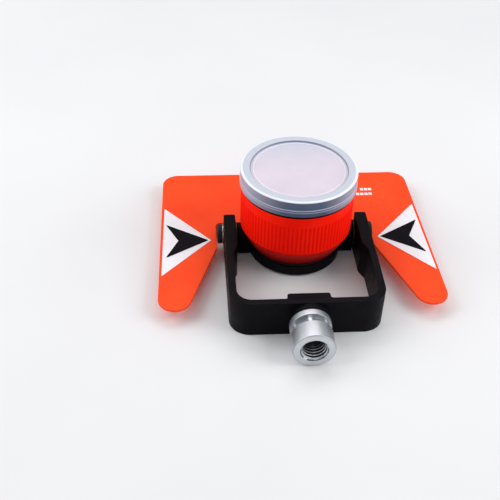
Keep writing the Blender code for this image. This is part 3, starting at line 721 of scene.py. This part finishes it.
def orange_canister():
    """Fluorescent red-orange plastic with a painted glow, painted shade in the ribs' valleys and on the
    cone, and a painted shadow under the cap's edge.
    """
    look = Look("orange_canister", Specular_IOR_Level=0.02, Emission_Strength=0.27)
    cloud = look.noise(16.0 * MM, detail=4.0)
    tone = look.mottle(cloud, (0.84, 0.008, 0.003), (0.94, 0.015, 0.004))
    _, radius, height = look.rings()
    wall = reach("canister_shell")[1].x
    # Painted shade: the valleys between the ribs are drawn darker.
    valley_shade = look.below(radius, wall - RIB_DEPTH, RIB_DEPTH - 0.05 * MM)
    ribbed = look.within(height, RIB_BOTTOM, RIB_TOP, CRISP)
    tone = look.blend(look.times(valley_shade, ribbed), tone, (0.78, 0.005, 0.002))
    cap_edge = reach("dust_cap")[0].z
    # Painted shade: the cone is drawn darker, darkest at its bottom.
    cone = look.below(height, CONE_TOP - 0.4 * MM, 2.2 * MM)
    depth = look.spread(height, 0.0, 1.0, CONE_BOTTOM, CONE_TOP)
    shade = look.blend(depth, (0.10, 0.000, 0.000), (0.40, 0.003, 0.001))
    # Painted shadow: a dark band in the groove under the cap's overhang.
    cap_shadow = look.within(height, cap_edge - LIP_GROOVE_HEIGHT, cap_edge + 0.4 * MM, FINE)
    skin = look.blend(cap_shadow, look.blend(cone, tone, shade), (0.02, 0.001, 0.001))
    look.colour(skin)
    # The same colour, painted shade and shadow included, feeds a painted glow.
    look.feed(skin, look.shader.inputs["Emission Color"])
    look.roughness(look.spread(look.noise(3.0 * MM, detail=4.0, rough=0.6), 0.27, 0.36))
    look.bump((look.noise(0.6 * MM, detail=2.0), 0.008 * MM, 0.20), (cloud, 0.04 * MM, 0.08))
    return look.material


def vinyl(name, colour, shade, shine):
    """Self-adhesive sheet with a faint calendered grain."""
    look = Look(name, Specular_IOR_Level=shine)
    look.colour(look.mottle(look.noise(9.0 * MM, detail=4.0), shade, colour))
    look.uneven(2.5 * MM, 0.40, 0.54)
    look.bump((look.noise(0.4 * MM, detail=2.0), 0.01 * MM, 0.25))
    return look.material


def optical_glass():
    """Polished glass with a trace of dust on it."""
    look = Look("optical_glass", Base_Color=(0.96, 0.985, 1.0), IOR=1.517, Transmission_Weight=1.0)
    dust = look.noise(0.6 * MM, detail=5.0, rough=0.8)
    look.roughness(look.spread(dust, 0.0, 0.10, 0.66, 0.85))
    look.bump((look.noise(12.0 * MM), 0.002 * MM, 0.2))
    return look.material


def black_rubber():
    """Matt moulded rubber with a pale bloom."""
    look = Look("black_rubber", Specular_IOR_Level=0.2)
    look.colour(look.mottle(look.noise(4.0 * MM), (0.009, 0.009, 0.009), (0.022, 0.022, 0.022)))
    look.uneven(1.0 * MM, 0.65, 0.85)
    look.bump((look.noise(0.25 * MM), 0.02 * MM, 0.4))
    return look.material


def frosted_cap():
    """Translucent frosted plastic: a milky lilac disc inside a pale rim, and a bluer skirt, with painted
    light: painted shade on the skirt's front and back and a painted sheen on its sides, painted shade
    towards the back of the disc and on the recess wall, and painted highlights on the disc's ring, the
    skirt's steps and the rim's outer edge.
    """
    low, high = reach("dust_cap")
    look = Look(
        "frosted_cap", Specular_IOR_Level=0.4, IOR=1.5,
        Subsurface_Weight=0.2, Subsurface_Radius=(1.0, 0.9, 1.1), Subsurface_Scale=0.8 * MM,
        Coat_Weight=0.3, Coat_Roughness=0.18,
    )
    across, along, _ = look.axes()
    _, radius, height = look.rings()
    milk = look.noise(16.0 * MM)
    disc = look.mottle(milk, (0.74, 0.655, 0.75), (0.80, 0.705, 0.80))
    # Painted shade: the disc turns bluer and darker towards the back.
    back_shade = look.spread(along, 0.0, 0.85, 2.0 * MM, RECESS_RADIUS)
    disc = look.blend(back_shade, disc, (0.57, 0.60, 0.70))
    # Painted highlight on the disc's raised ring.
    ring_highlight = look.within(radius, CAP_RING_RADIUS - CAP_RING, CAP_RING_RADIUS + CAP_RING, FINE)
    disc = look.blend(ring_highlight, disc, (0.90, 0.86, 0.92))
    # Painted shade and sheen: the skirt is darkest at its front and back and lighter at its sides.
    side = look.spread(look.sums("ABSOLUTE", across, 0.0), 0.0, 1.0, 12.0 * MM, high.x)
    skirt = look.blend(side, (0.085, 0.120, 0.21), (0.41, 0.41, 0.51))
    # Painted highlights along the skirt's two steps.
    for step, tint in zip(CAP_STEP_HEIGHTS, (0.75, 0.45)):
        step_highlight = look.within(height, low.z + step - 0.45 * MM, low.z + step + 0.05 * MM, FINE)
        skirt = look.blend(look.times(step_highlight, tint), skirt, (0.62, 0.62, 0.78))
    rim = look.spread(height, 0.0, 1.0, high.z - CAP_EDGE, high.z - CAP_EDGE / 2.0)
    body = look.blend(rim, skirt, (0.61, 0.655, 0.73))
    # Painted highlight along the rim's outer edge.
    corner = look.within(radius, high.x - 2.4 * CAP_EDGE, high.x - 0.3 * CAP_EDGE, 0.4 * MM)
    body = look.blend(look.times(corner, rim), body, (0.90, 0.90, 0.97))
    # Painted shade on the recess wall.
    wall = look.within(height, RECESS_FLOOR + CRISP, high.z - SOFT, CRISP)
    inner = look.within(radius, RECESS_RADIUS - 0.4 * MM, RECESS_RADIUS + BLUNT, CRISP)
    body = look.blend(look.times(wall, inner), body, (0.30, 0.32, 0.44))
    in_disc = look.below(radius, RECESS_RADIUS - 0.4 * MM, 0.4 * MM)
    look.colour(look.blend(in_disc, body, disc))
    look.uneven(5.0 * MM, 0.28, 0.42, detail=4.0)
    look.bump((look.noise(0.22 * MM, detail=2.0), 0.012 * MM, 0.35), (milk, 0.06 * MM, 0.10))
    return look.material


def pale_floor():
    look = Look("pale_floor", Roughness=0.6, Specular_IOR_Level=0.2)
    look.colour(look.mottle(look.noise(0.2), (0.84, 0.84, 0.85), (0.88, 0.88, 0.885)))
    look.bump((look.noise(2.0 * MM), 0.02 * MM, 0.1))
    return look.material


# Pieces of the yoke's body.


def make_yoke():
    low, high = reach("yoke")
    outer = [(high.x, high.y, 0.0), (high.x, BASE_OUTER, BASE_OUTER_RADIUS)]
    inner = [
        (-ARM_HEAD_X, high.y, 0.0),
        (-ARM_HEAD_X, HEAD_BOTTOM, HEAD_STEP_RADIUS),
        (-ARM_INNER_X, HEAD_BOTTOM - HEAD_STEP, HEAD_STEP_RADIUS),
        (-ARM_INNER_X, BASE_INNER, BASE_INNER_RADIUS),
        (-PAD_HALF_WIDTH, BASE_INNER, PAD_EDGE),
        (-PAD_HALF_WIDTH, PAD_TOP, PAD_EDGE),
    ]
    outline = rounded(outer + mirrored(outer) + inner + mirrored(inner))
    yoke = slab("yoke_casting", [outline], low.z, high.z, BLACK)
    round_arm_tops(yoke.data, high)
    soften(yoke, YOKE_EDGE, YOKE_EDGE_ANGLE_DEG, segments=4)
    boss = from_axis([(BOSS_RADIUS, BASE_INNER - BOSS_SUNK, 0.0), (BOSS_RADIUS, low.y, BOSS_EDGE)])
    combine(yoke, turned("boss", boss, None, "Y"), "UNION")
    cut(yoke, drill("bolt_hole", BOLT_HOLE_RADIUS, low.y - PAST, PAD_TOP + PAST, "Y"))
    sunk = [
        (0.0, PAD_TOP + PAST),
        (COUNTERBORE_RADIUS + HOLE_CHAMFER + PAST, PAD_TOP + PAST),
        (COUNTERBORE_RADIUS, PAD_TOP - HOLE_CHAMFER),
        (COUNTERBORE_RADIUS, COUNTERBORE_END),
        (0.0, COUNTERBORE_END),
    ]
    cut(yoke, turned("counterbore", sunk, None, "Y", SMALL_STEPS))
    for side, _, axis in SIDES:
        cut(yoke, drill("pivot_hole_" + side, PIVOT_HOLE_RADIUS, ARM_HEAD_X, high.x, axis, HOLE_CHAMFER))
    stand_for(settle(yoke), "yoke")


def round_arm_tops(mesh, high):
    """Round the arms' top corners across their depth."""
    shape = bmesh.new()
    shape.from_mesh(mesh)
    top_edges = []
    for edge in shape.edges:
        places = [vertex.co for vertex in edge.verts]
        if all(abs(p.y - high.y) < WELD and abs(abs(p.z) - high.z) < WELD for p in places):
            top_edges.append(edge)
    bmesh.ops.bevel(shape, geom=top_edges, offset=ARM_TOP_RADIUS, segments=12, profile=0.5, affect="EDGES")
    shape.to_mesh(mesh)
    shape.free()


def thread_rows(high, low, pitch):
    """Heights down a threaded wall, close enough to draw its crests."""
    count = math.ceil((high - low) / pitch * THREAD_ROWS)
    return [high - (high - low) * i / count for i in range(count + 1)]


def thread_wave(angle, height, pitch):
    """0 at a thread's inner crest and 1 at its outer one."""
    phase = (height / pitch - angle / (2.0 * math.pi)) % 1.0
    wave = 1.0 - abs(2.0 * phase - 1.0)
    return min(1.0, max(0.0, (wave - THREAD_FLAT) / (1.0 - 2.0 * THREAD_FLAT)))


def make_pole_socket():
    low, high = reach("pole_socket")
    barrel = high.x
    mouth_depth = THREAD_MOUTH - THREAD_MINOR
    outer = rounded([
        (BOLT_HOLE_RADIUS, high.y, 0.0),
        (barrel, high.y, BARREL_EDGE),
        (barrel, NECK_TOP, FINE),
        (NECK_FLAT, NECK_TOP, SOFT),
        (NECK_FLAT, NECK_BOTTOM, SOFT),
        (barrel, NECK_BOTTOM, FINE),
        (barrel, low.y, BARREL_EDGE),
        (THREAD_MOUTH, low.y, RING_EDGE),
        (THREAD_MINOR, low.y + mouth_depth, 0.0),
        (BOLT_HOLE_RADIUS, BORE_END, 0.0),
    ])
    profile = outer[:-2]
    for height in reversed(thread_rows(BORE_END, low.y + mouth_depth / 4.0, THREAD_PITCH)):
        cone = THREAD_MOUTH - (height - low.y)
        profile.append((max(THREAD_MINOR, cone), height))
    profile.append((BOLT_HOLE_RADIUS, BORE_END))

    def radius_at(angle, radius, height):
        if BOLT_HOLE_RADIUS < radius < THREAD_MOUTH and height > low.y + WELD:
            depth = THREAD_MAJOR - THREAD_MINOR
            return max(radius, THREAD_MINOR + depth * thread_wave(angle, height, THREAD_PITCH))
        if radius < barrel - BARREL_EDGE and NECK_BOTTOM - WELD < height < NECK_TOP + WELD:
            turn = angle + math.radians(NECK_TURN_DEG)
            from_flat = (turn + math.pi / 6.0) % (math.pi / 3.0) - math.pi / 6.0
            return max(radius, min(NECK_FLAT / math.cos(from_flat), NECK_CORNER))
        return radius

    stand_for(turned("turned_socket", profile, ALUMINIUM, "Y", radius_at=radius_at), "pole_socket")


def make_bolt(node, name, axis, corners, thread, knurl, key):
    """A black bolt from its corners, and these features of it.

    thread is (radius, top, tip, pitch, depth), knurl (radius, low, high) and key (flat radius, depth).
    """
    thread_radius, top, tip, pitch, depth = thread
    knurl_radius, knurl_low, knurl_high = knurl
    bands = (knurl_high, knurl_high - KNURL_DEPTH, knurl_low + KNURL_DEPTH, knurl_low)
    head_rows = [(knurl_radius, height, 0.0) for height in bands]
    profile = from_axis(corners[:1] + head_rows + corners[1:])
    profile[-2:-2] = [(thread_radius, height) for height in thread_rows(top, tip, pitch)]

    def radius_at(angle, radius, height):
        if abs(radius - thread_radius) < WELD and tip <= height <= top:
            fade = min(1.0, (top - height) / pitch, (height - tip + WELD) / (0.5 * pitch))
            return radius - depth * fade * (1.0 - thread_wave(angle, height, pitch))
        if radius > knurl_radius - WELD and knurl_low + WELD < height < knurl_high - WELD:
            return radius - KNURL_DEPTH * (0.5 - 0.5 * math.cos(KNURL_COUNT * angle))
        return radius

    bolt = turned(name, profile, BLACK_STEEL, axis, KNURL_COUNT * KNURL_STEPS, radius_at)
    flat_radius, key_depth = key
    head_top = corners[0][1]
    cut(bolt, slab(name + "_key", [hexagon(flat_radius)], head_top - key_depth, head_top + PAST, None, axis))
    stand_for(settle(bolt), node)


def make_socket_bolt():
    low, high = reach("socket_bolt")
    head = high.x
    corners = [
        (head, high.y, BLUNT),
        (head, BOLT_HEAD_BOTTOM, FINE),
        (BOLT_RADIUS, BOLT_HEAD_BOTTOM, 0.0),
        (BOLT_RADIUS, low.y, BLUNT),
    ]
    thread = (BOLT_RADIUS, BOLT_THREAD_START, low.y + BOLT_POINT, BOLT_PITCH, BOLT_THREAD_DEPTH)
    knurl = (head, BOLT_HEAD_BOTTOM + BLUNT, high.y - BLUNT - SOFT)
    key = (BOLT_KEY_FLAT, BOLT_KEY_DEPTH)
    make_bolt("socket_bolt", "cap_head_bolt", "Y", corners, thread, knurl, key)


def soft_ring(name, inner, outer, low, high, material, axis="Z", edge=RING_EDGE):
    return turned(name, rectangle(inner, outer, high, low, edge), material, axis)


def make_socket_washer():
    low, high = reach("socket_washer")
    washer = soft_ring("spring_washer", BOLT_HOLE_RADIUS, high.x, low.y, high.y, STEEL, "Y")
    stand_for(washer, "socket_washer")


# Pieces that tilt.


def outward(node, sign):
    """How far out along the tilt axis a side's piece starts and ends, and its height or radius."""
    low, high = reach(node)
    ends = sorted((sign * low.x, sign * high.x))
    return ends[0], ends[1], high.z


def make_pivot(side, sign, axis):
    ear_face, end, radius = outward("pivot_bush_" + side, sign)
    bush = rounded([
        (SHOULDER_BORE, end, FINE),
        (BUSH_RADIUS, end, SOFT),
        (BUSH_RADIUS, ear_face + BUSH_FLANGE, CRISP),
        (radius, ear_face + BUSH_FLANGE, FINE),
        (radius, ear_face, FINE),
        (SHOULDER_BORE, ear_face, FINE),
    ])
    stand_for(turned("flanged_bush_" + side, bush, BRONZE, axis, SMALL_STEPS), "pivot_bush_" + side)
    start, end, radius = outward("pivot_washer_" + side, sign)
    washer = soft_ring("shim_washer_" + side, SHOULDER_BORE, radius, start, end, STEEL, axis)
    stand_for(washer, "pivot_washer_" + side)
    tip, top, radius = outward("pivot_screw_" + side, sign)
    head_low = top - PIVOT_HEAD
    corners = [
        (radius, top, PIVOT_HEAD_ROUND),
        (radius, head_low, RING_EDGE),
        (SHOULDER_RADIUS, head_low, 0.0),
        (SHOULDER_RADIUS, ear_face, CRISP),
        (PIVOT_THREAD_RADIUS, ear_face, 0.0),
        (PIVOT_THREAD_RADIUS, tip, SOFT),
    ]
    thread_top = ear_face - SOFT
    thread = (PIVOT_THREAD_RADIUS, thread_top, tip + PIVOT_POINT, PIVOT_PITCH, PIVOT_THREAD_DEPTH)
    knurl = (radius, head_low + SOFT, top - PIVOT_HEAD_ROUND - CRISP)
    key = (PIVOT_KEY_FLAT, PIVOT_KEY_DEPTH)
    make_bolt("pivot_screw_" + side, "shoulder_screw_" + side, axis, corners, thread, knurl, key)


def screw_places():
    """The plate screws' axes, from the CAD screws."""
    places = []
    for number in range(1, 5):
        low, high = reach(f"plate_screw_{number}")
        places.append((number, ((low.x + high.x) / 2.0, (low.y + high.y) / 2.0)))
    return places


def screw_holes():
    return [circle(SCREW_HOLE_RADIUS, centre) for _, centre in screw_places()]


def make_tilt_ring():
    low, high = reach("tilt_ring")
    body = rounded([
        (RING_BORE, RING_TOP, SOFT),
        (RING_RADIUS, RING_TOP, SOFT),
        (RING_RADIUS, low.z, RING_OUTER_EDGE),
        (RING_BORE, low.z, RING_INNER_EDGE),
    ])
    ring = turned("pivot_ring", body, BLACK)
    seat = turned("seat", [
        (0.0, SEAT_HIGH),
        (SEAT_WALL, SEAT_HIGH),
        (SEAT_WALL, CONE_TOP),
        (SEAT_RADIUS, CONE_BOTTOM),
        (SEAT_RADIUS, SEAT_FLOOR),
        (0.0, SEAT_FLOOR),
    ], None)
    for side, sign, axis in SIDES:
        ear = make_ear("ear_" + side, sign, high.x, axis)
        cut(ear, seat)
        combine(ring, ear, "UNION")
    start = FLANGE_START_DEG
    outline = arc(FLANGE_RADIUS, start, 180.0 - start) + arc(FLANGE_ROOT, 180.0 - start, start)
    flange = slab("screw_flange", [outline] + screw_holes(), FLANGE_BOTTOM, FLANGE_TOP, None, edge=SOFT)
    combine(ring, flange, "UNION")
    for side, _, axis in SIDES:
        cut(ring, drill("tap_" + side, TAP_RADIUS, TAP_END, ARM_HEAD_X, axis))
    stand_for(settle(ring), "tilt_ring")
    bpy.data.objects.remove(seat, do_unlink=True)


def make_ear(name, sign, outer_x, axis):
    """A pivot ear: round about the tilt axis in front, square behind."""
    bottom = -sign * EAR_BOTTOM
    corners = [(bottom, -EAR_RADIUS, EAR_CORNER), (bottom, EAR_RADIUS, EAR_CORNER)]
    outline = from_axis(corners)[1:-1]
    for x, y in arc(EAR_RADIUS, 90.0, 270.0, steps=SMALL_STEPS // 2):
        outline.append((sign * x, y))
    return slab(name, [outline], EAR_INNER_X, outer_x, None, axis, BLUNT)


def make_target_plate():
    low, high = reach("target_plate")
    side_start = TOP_X + SIDE_SLOPE * high.y
    lobe_y = -(side_start - WING_INNER_X) / (WING_INNER_SLOPE - SIDE_SLOPE)
    lobe_x = WING_INNER_X - WING_INNER_SLOPE * lobe_y
    hip_y = -(SLOT_OUTER_X - WING_INNER_X) / WING_INNER_SLOPE
    wing = [
        (SLOT_INNER_X, EAR_NOTCH_Y, EAR_NOTCH_RADIUS),
        (SLOT_INNER_X, SLOT_TOP, SLOT_EDGE_RADIUS),
        (SLOT_OUTER_X, SLOT_TOP, SLOT_CORNER_RADIUS),
        (SLOT_OUTER_X, hip_y, WING_HIP_RADIUS),
        (lobe_x, lobe_y, WING_LOBE_RADIUS),
        (TOP_X, high.y, TOP_RADIUS),
    ]
    notch = math.degrees(math.asin(EAR_NOTCH_Y / DISC_RADIUS))
    disc = arc(DISC_RADIUS, 180.0 - notch, 360.0 + notch)
    corners = [(x, y, 0.0) for x, y in disc] + wing + mirrored(wing)
    outlines = [rounded(corners), circle(DISC_BORE, steps=ROUND_STEPS)] + screw_holes()
    stand_for(slab("sheet_target", outlines, low.z, high.z, PLATE, edge=PLATE_EDGE), "target_plate")


def make_plate_screw(number, centre):
    low, high = reach(f"plate_screw_{number}")
    head = (high.x - low.x) / 2.0
    head_low = high.z - SCREW_HEAD
    profile = from_axis([
        (head, high.z, SCREW_HEAD_ROUND),
        (head, head_low, CRISP),
        (SCREW_RADIUS, head_low, 0.0),
        (SCREW_RADIUS, low.z, FINE),
    ])
    top = head_low - SOFT
    tip = low.z + SCREW_PITCH
    profile[-5:-5] = [(SCREW_RADIUS, height) for height in thread_rows(top, tip, SCREW_PITCH)]

    def radius_at(angle, radius, height):
        if abs(radius - SCREW_RADIUS) < WELD and tip <= height <= top:
            return radius - SCREW_THREAD_DEPTH * (1.0 - thread_wave(angle, height, SCREW_PITCH))
        return radius

    screw = turned(f"pan_screw_{number}", profile, STEEL, steps=SMALL_STEPS // 2, radius_at=radius_at)
    screw.location = TILT + Vector((*centre, 0.0))
    width = CROSS_WIDTH / 2.0
    length = CROSS_LENGTH / 2.0
    cross = []
    for quarter in range(4):
        for point in ((length, -width), (length, width), (width, width)):
            cross.append(spun(point, math.pi / 2.0 * quarter))
    recess = slab(f"cross_{number}", [cross], high.z - CROSS_DEPTH, high.z + PAST, None)
    recess.location = screw.location
    cut(screw, recess)
    stand_for(settle(screw), f"plate_screw_{number}")


def make_mark(node, name, material, points):
    low, high = reach(node)
    outline = rounded([(x, y, MARK_CORNER) for x, y in points])
    stand_for(slab(name, [outline], low.z, high.z, material, edge=MARK_EDGE), node)


def make_marks(side, sign):
    """A white panel with a black arrowhead on it, points inwards."""
    node = "arrow_panel_" + side
    tip, outer, _ = outward(node, sign)
    make_mark(node, "white_panel_" + side, WHITE, [
        (sign * tip, MARK_CENTRE_Y),
        (sign * outer, PANEL_OUTER_BOTTOM),
        (sign * (outer - PANEL_LEAN), PANEL_OUTER_TOP),
    ])
    node = "arrow_" + side
    tip, outer, _ = outward(node, sign)
    low, high = reach(node)
    make_mark(node, "black_arrow_" + side, INK, [
        (sign * tip, MARK_CENTRE_Y),
        (sign * outer, low.y),
        (sign * ARROW_NOTCH_X, MARK_CENTRE_Y),
        (sign * outer, high.y),
    ])


def make_print_blocks():
    """Plain blocks where the target carries small print."""
    low = reach("target_plate")[1].z + BLOCK_THICKNESS / 10.0
    for number, (y, starts) in enumerate(BLOCK_ROWS, start=1):
        bottom = y - BLOCK_HALF_HEIGHT
        top = y + BLOCK_HALF_HEIGHT
        outlines = [rectangle(x, x + BLOCK_LENGTH, bottom, top, MARK_CORNER) for x in starts]
        name = f"print_blocks_{number}"
        row = slab(name, outlines, low, low + BLOCK_THICKNESS, WHITE, edge=BLOCK_THICKNESS / 4.0)
        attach(row, BODY_OF["target_plate"])


# Pieces of the canister.


def ease(value):
    value = min(1.0, max(0.0, value))
    return value * value * (3.0 - 2.0 * value)


def make_canister_shell():
    low, high = reach("canister_shell")
    wall = high.x
    groove_top = reach("dust_cap")[0].z + GROOVE_UNDER_CAP
    groove_bottom = groove_top - LIP_GROOVE_HEIGHT
    rib_rows = []
    for row_top, fall in ((RIB_TOP, RIB_RUN_OUT), (RIB_BOTTOM + RIB_END, RIB_END)):
        for i in range(RIB_END_ROWS + 1):
            rib_rows.append((wall, row_top - fall * i / RIB_END_ROWS, 0.0))
    profile = rounded([
        (LIP_RADIUS, high.z, FINE),
        (wall, high.z, CAN_EDGE),
        (wall, groove_top, CRISP),
        (wall - LIP_GROOVE_DEPTH, groove_top, CRISP),
        (wall - LIP_GROOVE_DEPTH, groove_bottom, CRISP),
        (wall, groove_bottom, CRISP),
        *rib_rows,
        (wall, CONE_TOP, CONE_TOP_ROUND),
        (CONE_BOTTOM_RADIUS, CONE_BOTTOM, BLUNT),
        (NECK_RADIUS, CONE_BOTTOM, SOFT),
        (NECK_RADIUS, low.z, CAN_EDGE),
        (NECK_BORE, low.z, SOFT),
        (NECK_BORE, GLASS_FLOOR, GLASS_FLOOR_EDGE),
        (GLASS_BORE, GLASS_FLOOR, SOFT),
        (GLASS_BORE, LIP_FLOOR, FINE),
        (LIP_RADIUS, LIP_FLOOR, FINE),
    ])

    def radius_at(angle, radius, height):
        if radius < wall - WELD or not RIB_BOTTOM <= height <= RIB_TOP:
            return radius
        run = ease(min((RIB_TOP - height) / RIB_RUN_OUT, (height - RIB_BOTTOM) / RIB_END))
        ridge = abs(math.cos(RIB_COUNT * angle / 2.0)) ** RIB_SHARPNESS
        return radius - RIB_DEPTH * run * (1.0 - ridge)

    steps = RIB_COUNT * RIB_STEPS
    shell = turned("ribbed_canister", profile, CANISTER, steps=steps, radius_at=radius_at)
    stand_for(shell, "canister_shell")


def make_corner_cube():
    low, high = reach("corner_cube")
    radius = (high.x - low.x) / 2.0
    glass = turned("prism_glass", rectangle(0.0, radius, high.z, low.z - PAST), GLASS, steps=GLASS_STEPS)
    shape = bmesh.new()
    bmesh.ops.create_cube(shape, size=CUBE_SIZE)
    bmesh.ops.translate(shape, verts=shape.verts, vec=[CUBE_SIZE / 2.0] * 3)
    corner = new_piece("cube_corner", shape, None)
    diagonal = Vector((1.0, 1.0, 1.0))
    corner.rotation_euler = diagonal.rotation_difference(Vector((0.0, 0.0, 1.0))).to_euler()
    combine(glass, corner, "INTERSECT")
    soften(glass, GLASS_EDGE, GLASS_EDGE_ANGLE_DEG, segments=1)
    stand_for(settle(glass), "corner_cube")


def cut_key_notches(ring, top):
    half = NOTCH_WIDTH / 2.0
    for side, sign, _ in SIDES:
        notch = rectangle(sign * (RING_BORE_EDGE - PAST), sign * (LIP_RADIUS + PAST), -half, half)
        cut(ring, slab("notch_" + side, [notch], top - NOTCH_DEPTH, top + PAST, None))
    settle(ring)


def make_canister_rings():
    for node, name, inner, material, edge in (
        ("front_gasket", "lip_gasket", RING_BORE_EDGE, RUBBER, SOFT),
        ("retaining_ring", "notched_ring", RING_BORE_EDGE, BLACK, SOFT),
        ("rear_cushion", "glass_cushion", CUSHION_INNER, RUBBER, CUSHION_EDGE),
    ):
        low, high = reach(node)
        ring = soft_ring(name, inner, high.x, low.z, high.z, material, edge=edge)
        if node == "retaining_ring":
            cut_key_notches(ring, high.z)
        stand_for(ring, node)


def make_rear_cover():
    low, high = reach("rear_cover")
    profile = from_axis([
        (COVER_SPIGOT_BORE, COVER_FLANGE_TOP, COVER_EDGE),
        (COVER_SPIGOT_BORE, high.z, SOFT),
        (COVER_SPIGOT, high.z, COVER_EDGE),
        (COVER_SPIGOT, COVER_FLANGE_TOP, CRISP),
        (high.x, COVER_FLANGE_TOP, SOFT),
        (high.x, low.z, BLUNT),
        (GROOVE_RADIUS + COVER_GROOVE, low.z, CRISP),
        (GROOVE_RADIUS, low.z + COVER_GROOVE, CRISP),
        (GROOVE_RADIUS - COVER_GROOVE, low.z, CRISP),
    ])
    cover = turned("slotted_cover", profile, BLACK)
    half_length = (COIN_SLOT_LENGTH - COIN_SLOT_WIDTH) / 2.0
    end = COIN_SLOT_WIDTH / 2.0
    slot = arc(end, -90.0, 90.0, (half_length, 0.0)) + arc(end, 90.0, 270.0, (-half_length, 0.0))
    cut(cover, slab("coin_slot", [slot], low.z - PAST, low.z + COIN_SLOT_DEPTH, None))
    stand_for(settle(cover), "rear_cover")


def make_dust_cap():
    low, high = reach("dust_cap")
    skirt = high.x
    first, second = (low.z + height for height in CAP_STEP_HEIGHTS)
    ring_top = RECESS_FLOOR + CAP_RING
    profile = from_axis([
        (CAP_RING_RADIUS - 2.0 * CAP_RING, RECESS_FLOOR, CRISP),
        (CAP_RING_RADIUS - CAP_RING, ring_top, CRISP),
        (CAP_RING_RADIUS + CAP_RING, ring_top, CRISP),
        (CAP_RING_RADIUS + 2.0 * CAP_RING, RECESS_FLOOR, CRISP),
        (RECESS_RADIUS, RECESS_FLOOR, CAP_FOOT),
        (RECESS_RADIUS + CAP_FLARE, high.z, SOFT),
        (skirt - CAP_STEP, high.z, CAP_EDGE),
        (skirt - CAP_STEP, first, CAP_STEP_EDGE),
        (skirt - CAP_STEP / 2.0, first - CAP_STEP, CAP_STEP_EDGE),
        (skirt - CAP_STEP / 2.0, second, CAP_STEP_EDGE),
        (skirt, second - CAP_STEP, CAP_STEP_EDGE),
        (skirt, low.z, CAP_FOOT),
        (CAP_BORE, low.z, CAP_BORE_EDGE),
        (CAP_BORE, CAP_CEILING, SOFT),
    ])
    stand_for(turned("moulded_cap", profile, CAP), "dust_cap")


# Stage.


def make_lights():
    for name, place, width, height, power in LIGHTS:
        lamp = bpy.data.lights.new(name, "AREA")
        lamp.shape = "RECTANGLE"
        lamp.size = width
        lamp.size_y = height
        lamp.energy = power
        light = add(name, lamp)
        light.location = TILT + place
        light.rotation_euler = (-place).to_track_quat("-Z", "Y").to_euler()


def make_stage():
    shape = bmesh.new()
    bmesh.ops.create_grid(shape, x_segments=2, y_segments=2, size=FLOOR_SIZE / 2.0)
    floor = new_piece("floor", shape, pale_floor())
    floor.location = (0.0, 0.0, 0.0)
    world = bpy.data.worlds.new("studio")
    world.use_nodes = True
    background = world.node_tree.nodes["Background"].inputs
    background["Color"].default_value = WORLD_COLOUR
    background["Strength"].default_value = WORLD_STRENGTH
    bpy.context.scene.world = world
    bpy.context.scene.view_settings.view_transform = "Standard"


def make_camera():
    lens = bpy.data.cameras.new("camera")
    lens.lens = CAMERA_LENS
    lens.clip_start = 0.02
    camera = add("camera", lens)
    camera.location = CAMERA_PLACE
    tilt = math.radians(90.0 - CAMERA_PITCH_DEG)
    camera.rotation_euler = Euler((tilt, 0.0, math.radians(-CAMERA_YAW_DEG)))
    camera.rotation_euler.rotate_axis("Z", math.radians(CAMERA_ROLL_DEG))
    bpy.context.scene.camera = camera


BLACK = black_satin()
BLACK_STEEL = black_steel()
ALUMINIUM = socket_aluminium()
STEEL = turned_metal("stainless_steel", (0.66, 0.65, 0.63), 0.20, 0.34, 0.08 * MM)[0].material
BRONZE = bearing_bronze()
PLATE = orange_plate()
CANISTER = orange_canister()
WHITE = vinyl("white_mark", (0.97, 0.95, 0.98), (0.92, 0.90, 0.94), 0.35)
INK = vinyl("black_mark", (0.007, 0.005, 0.009), (0.004, 0.003, 0.006), 0.05)
GLASS = optical_glass()
RUBBER = black_rubber()
CAP = frosted_cap()

make_yoke()
make_pole_socket()
make_socket_bolt()
make_socket_washer()
for side_name, side_sign, side_axis in SIDES:
    make_pivot(side_name, side_sign, side_axis)
    make_marks(side_name, side_sign)
make_tilt_ring()
make_target_plate()
for screw_number, screw_centre in screw_places():
    make_plate_screw(screw_number, screw_centre)
make_print_blocks()
make_canister_shell()
make_corner_cube()
make_canister_rings()
make_rear_cover()
make_dust_cap()
make_stage()
make_lights()
make_camera()
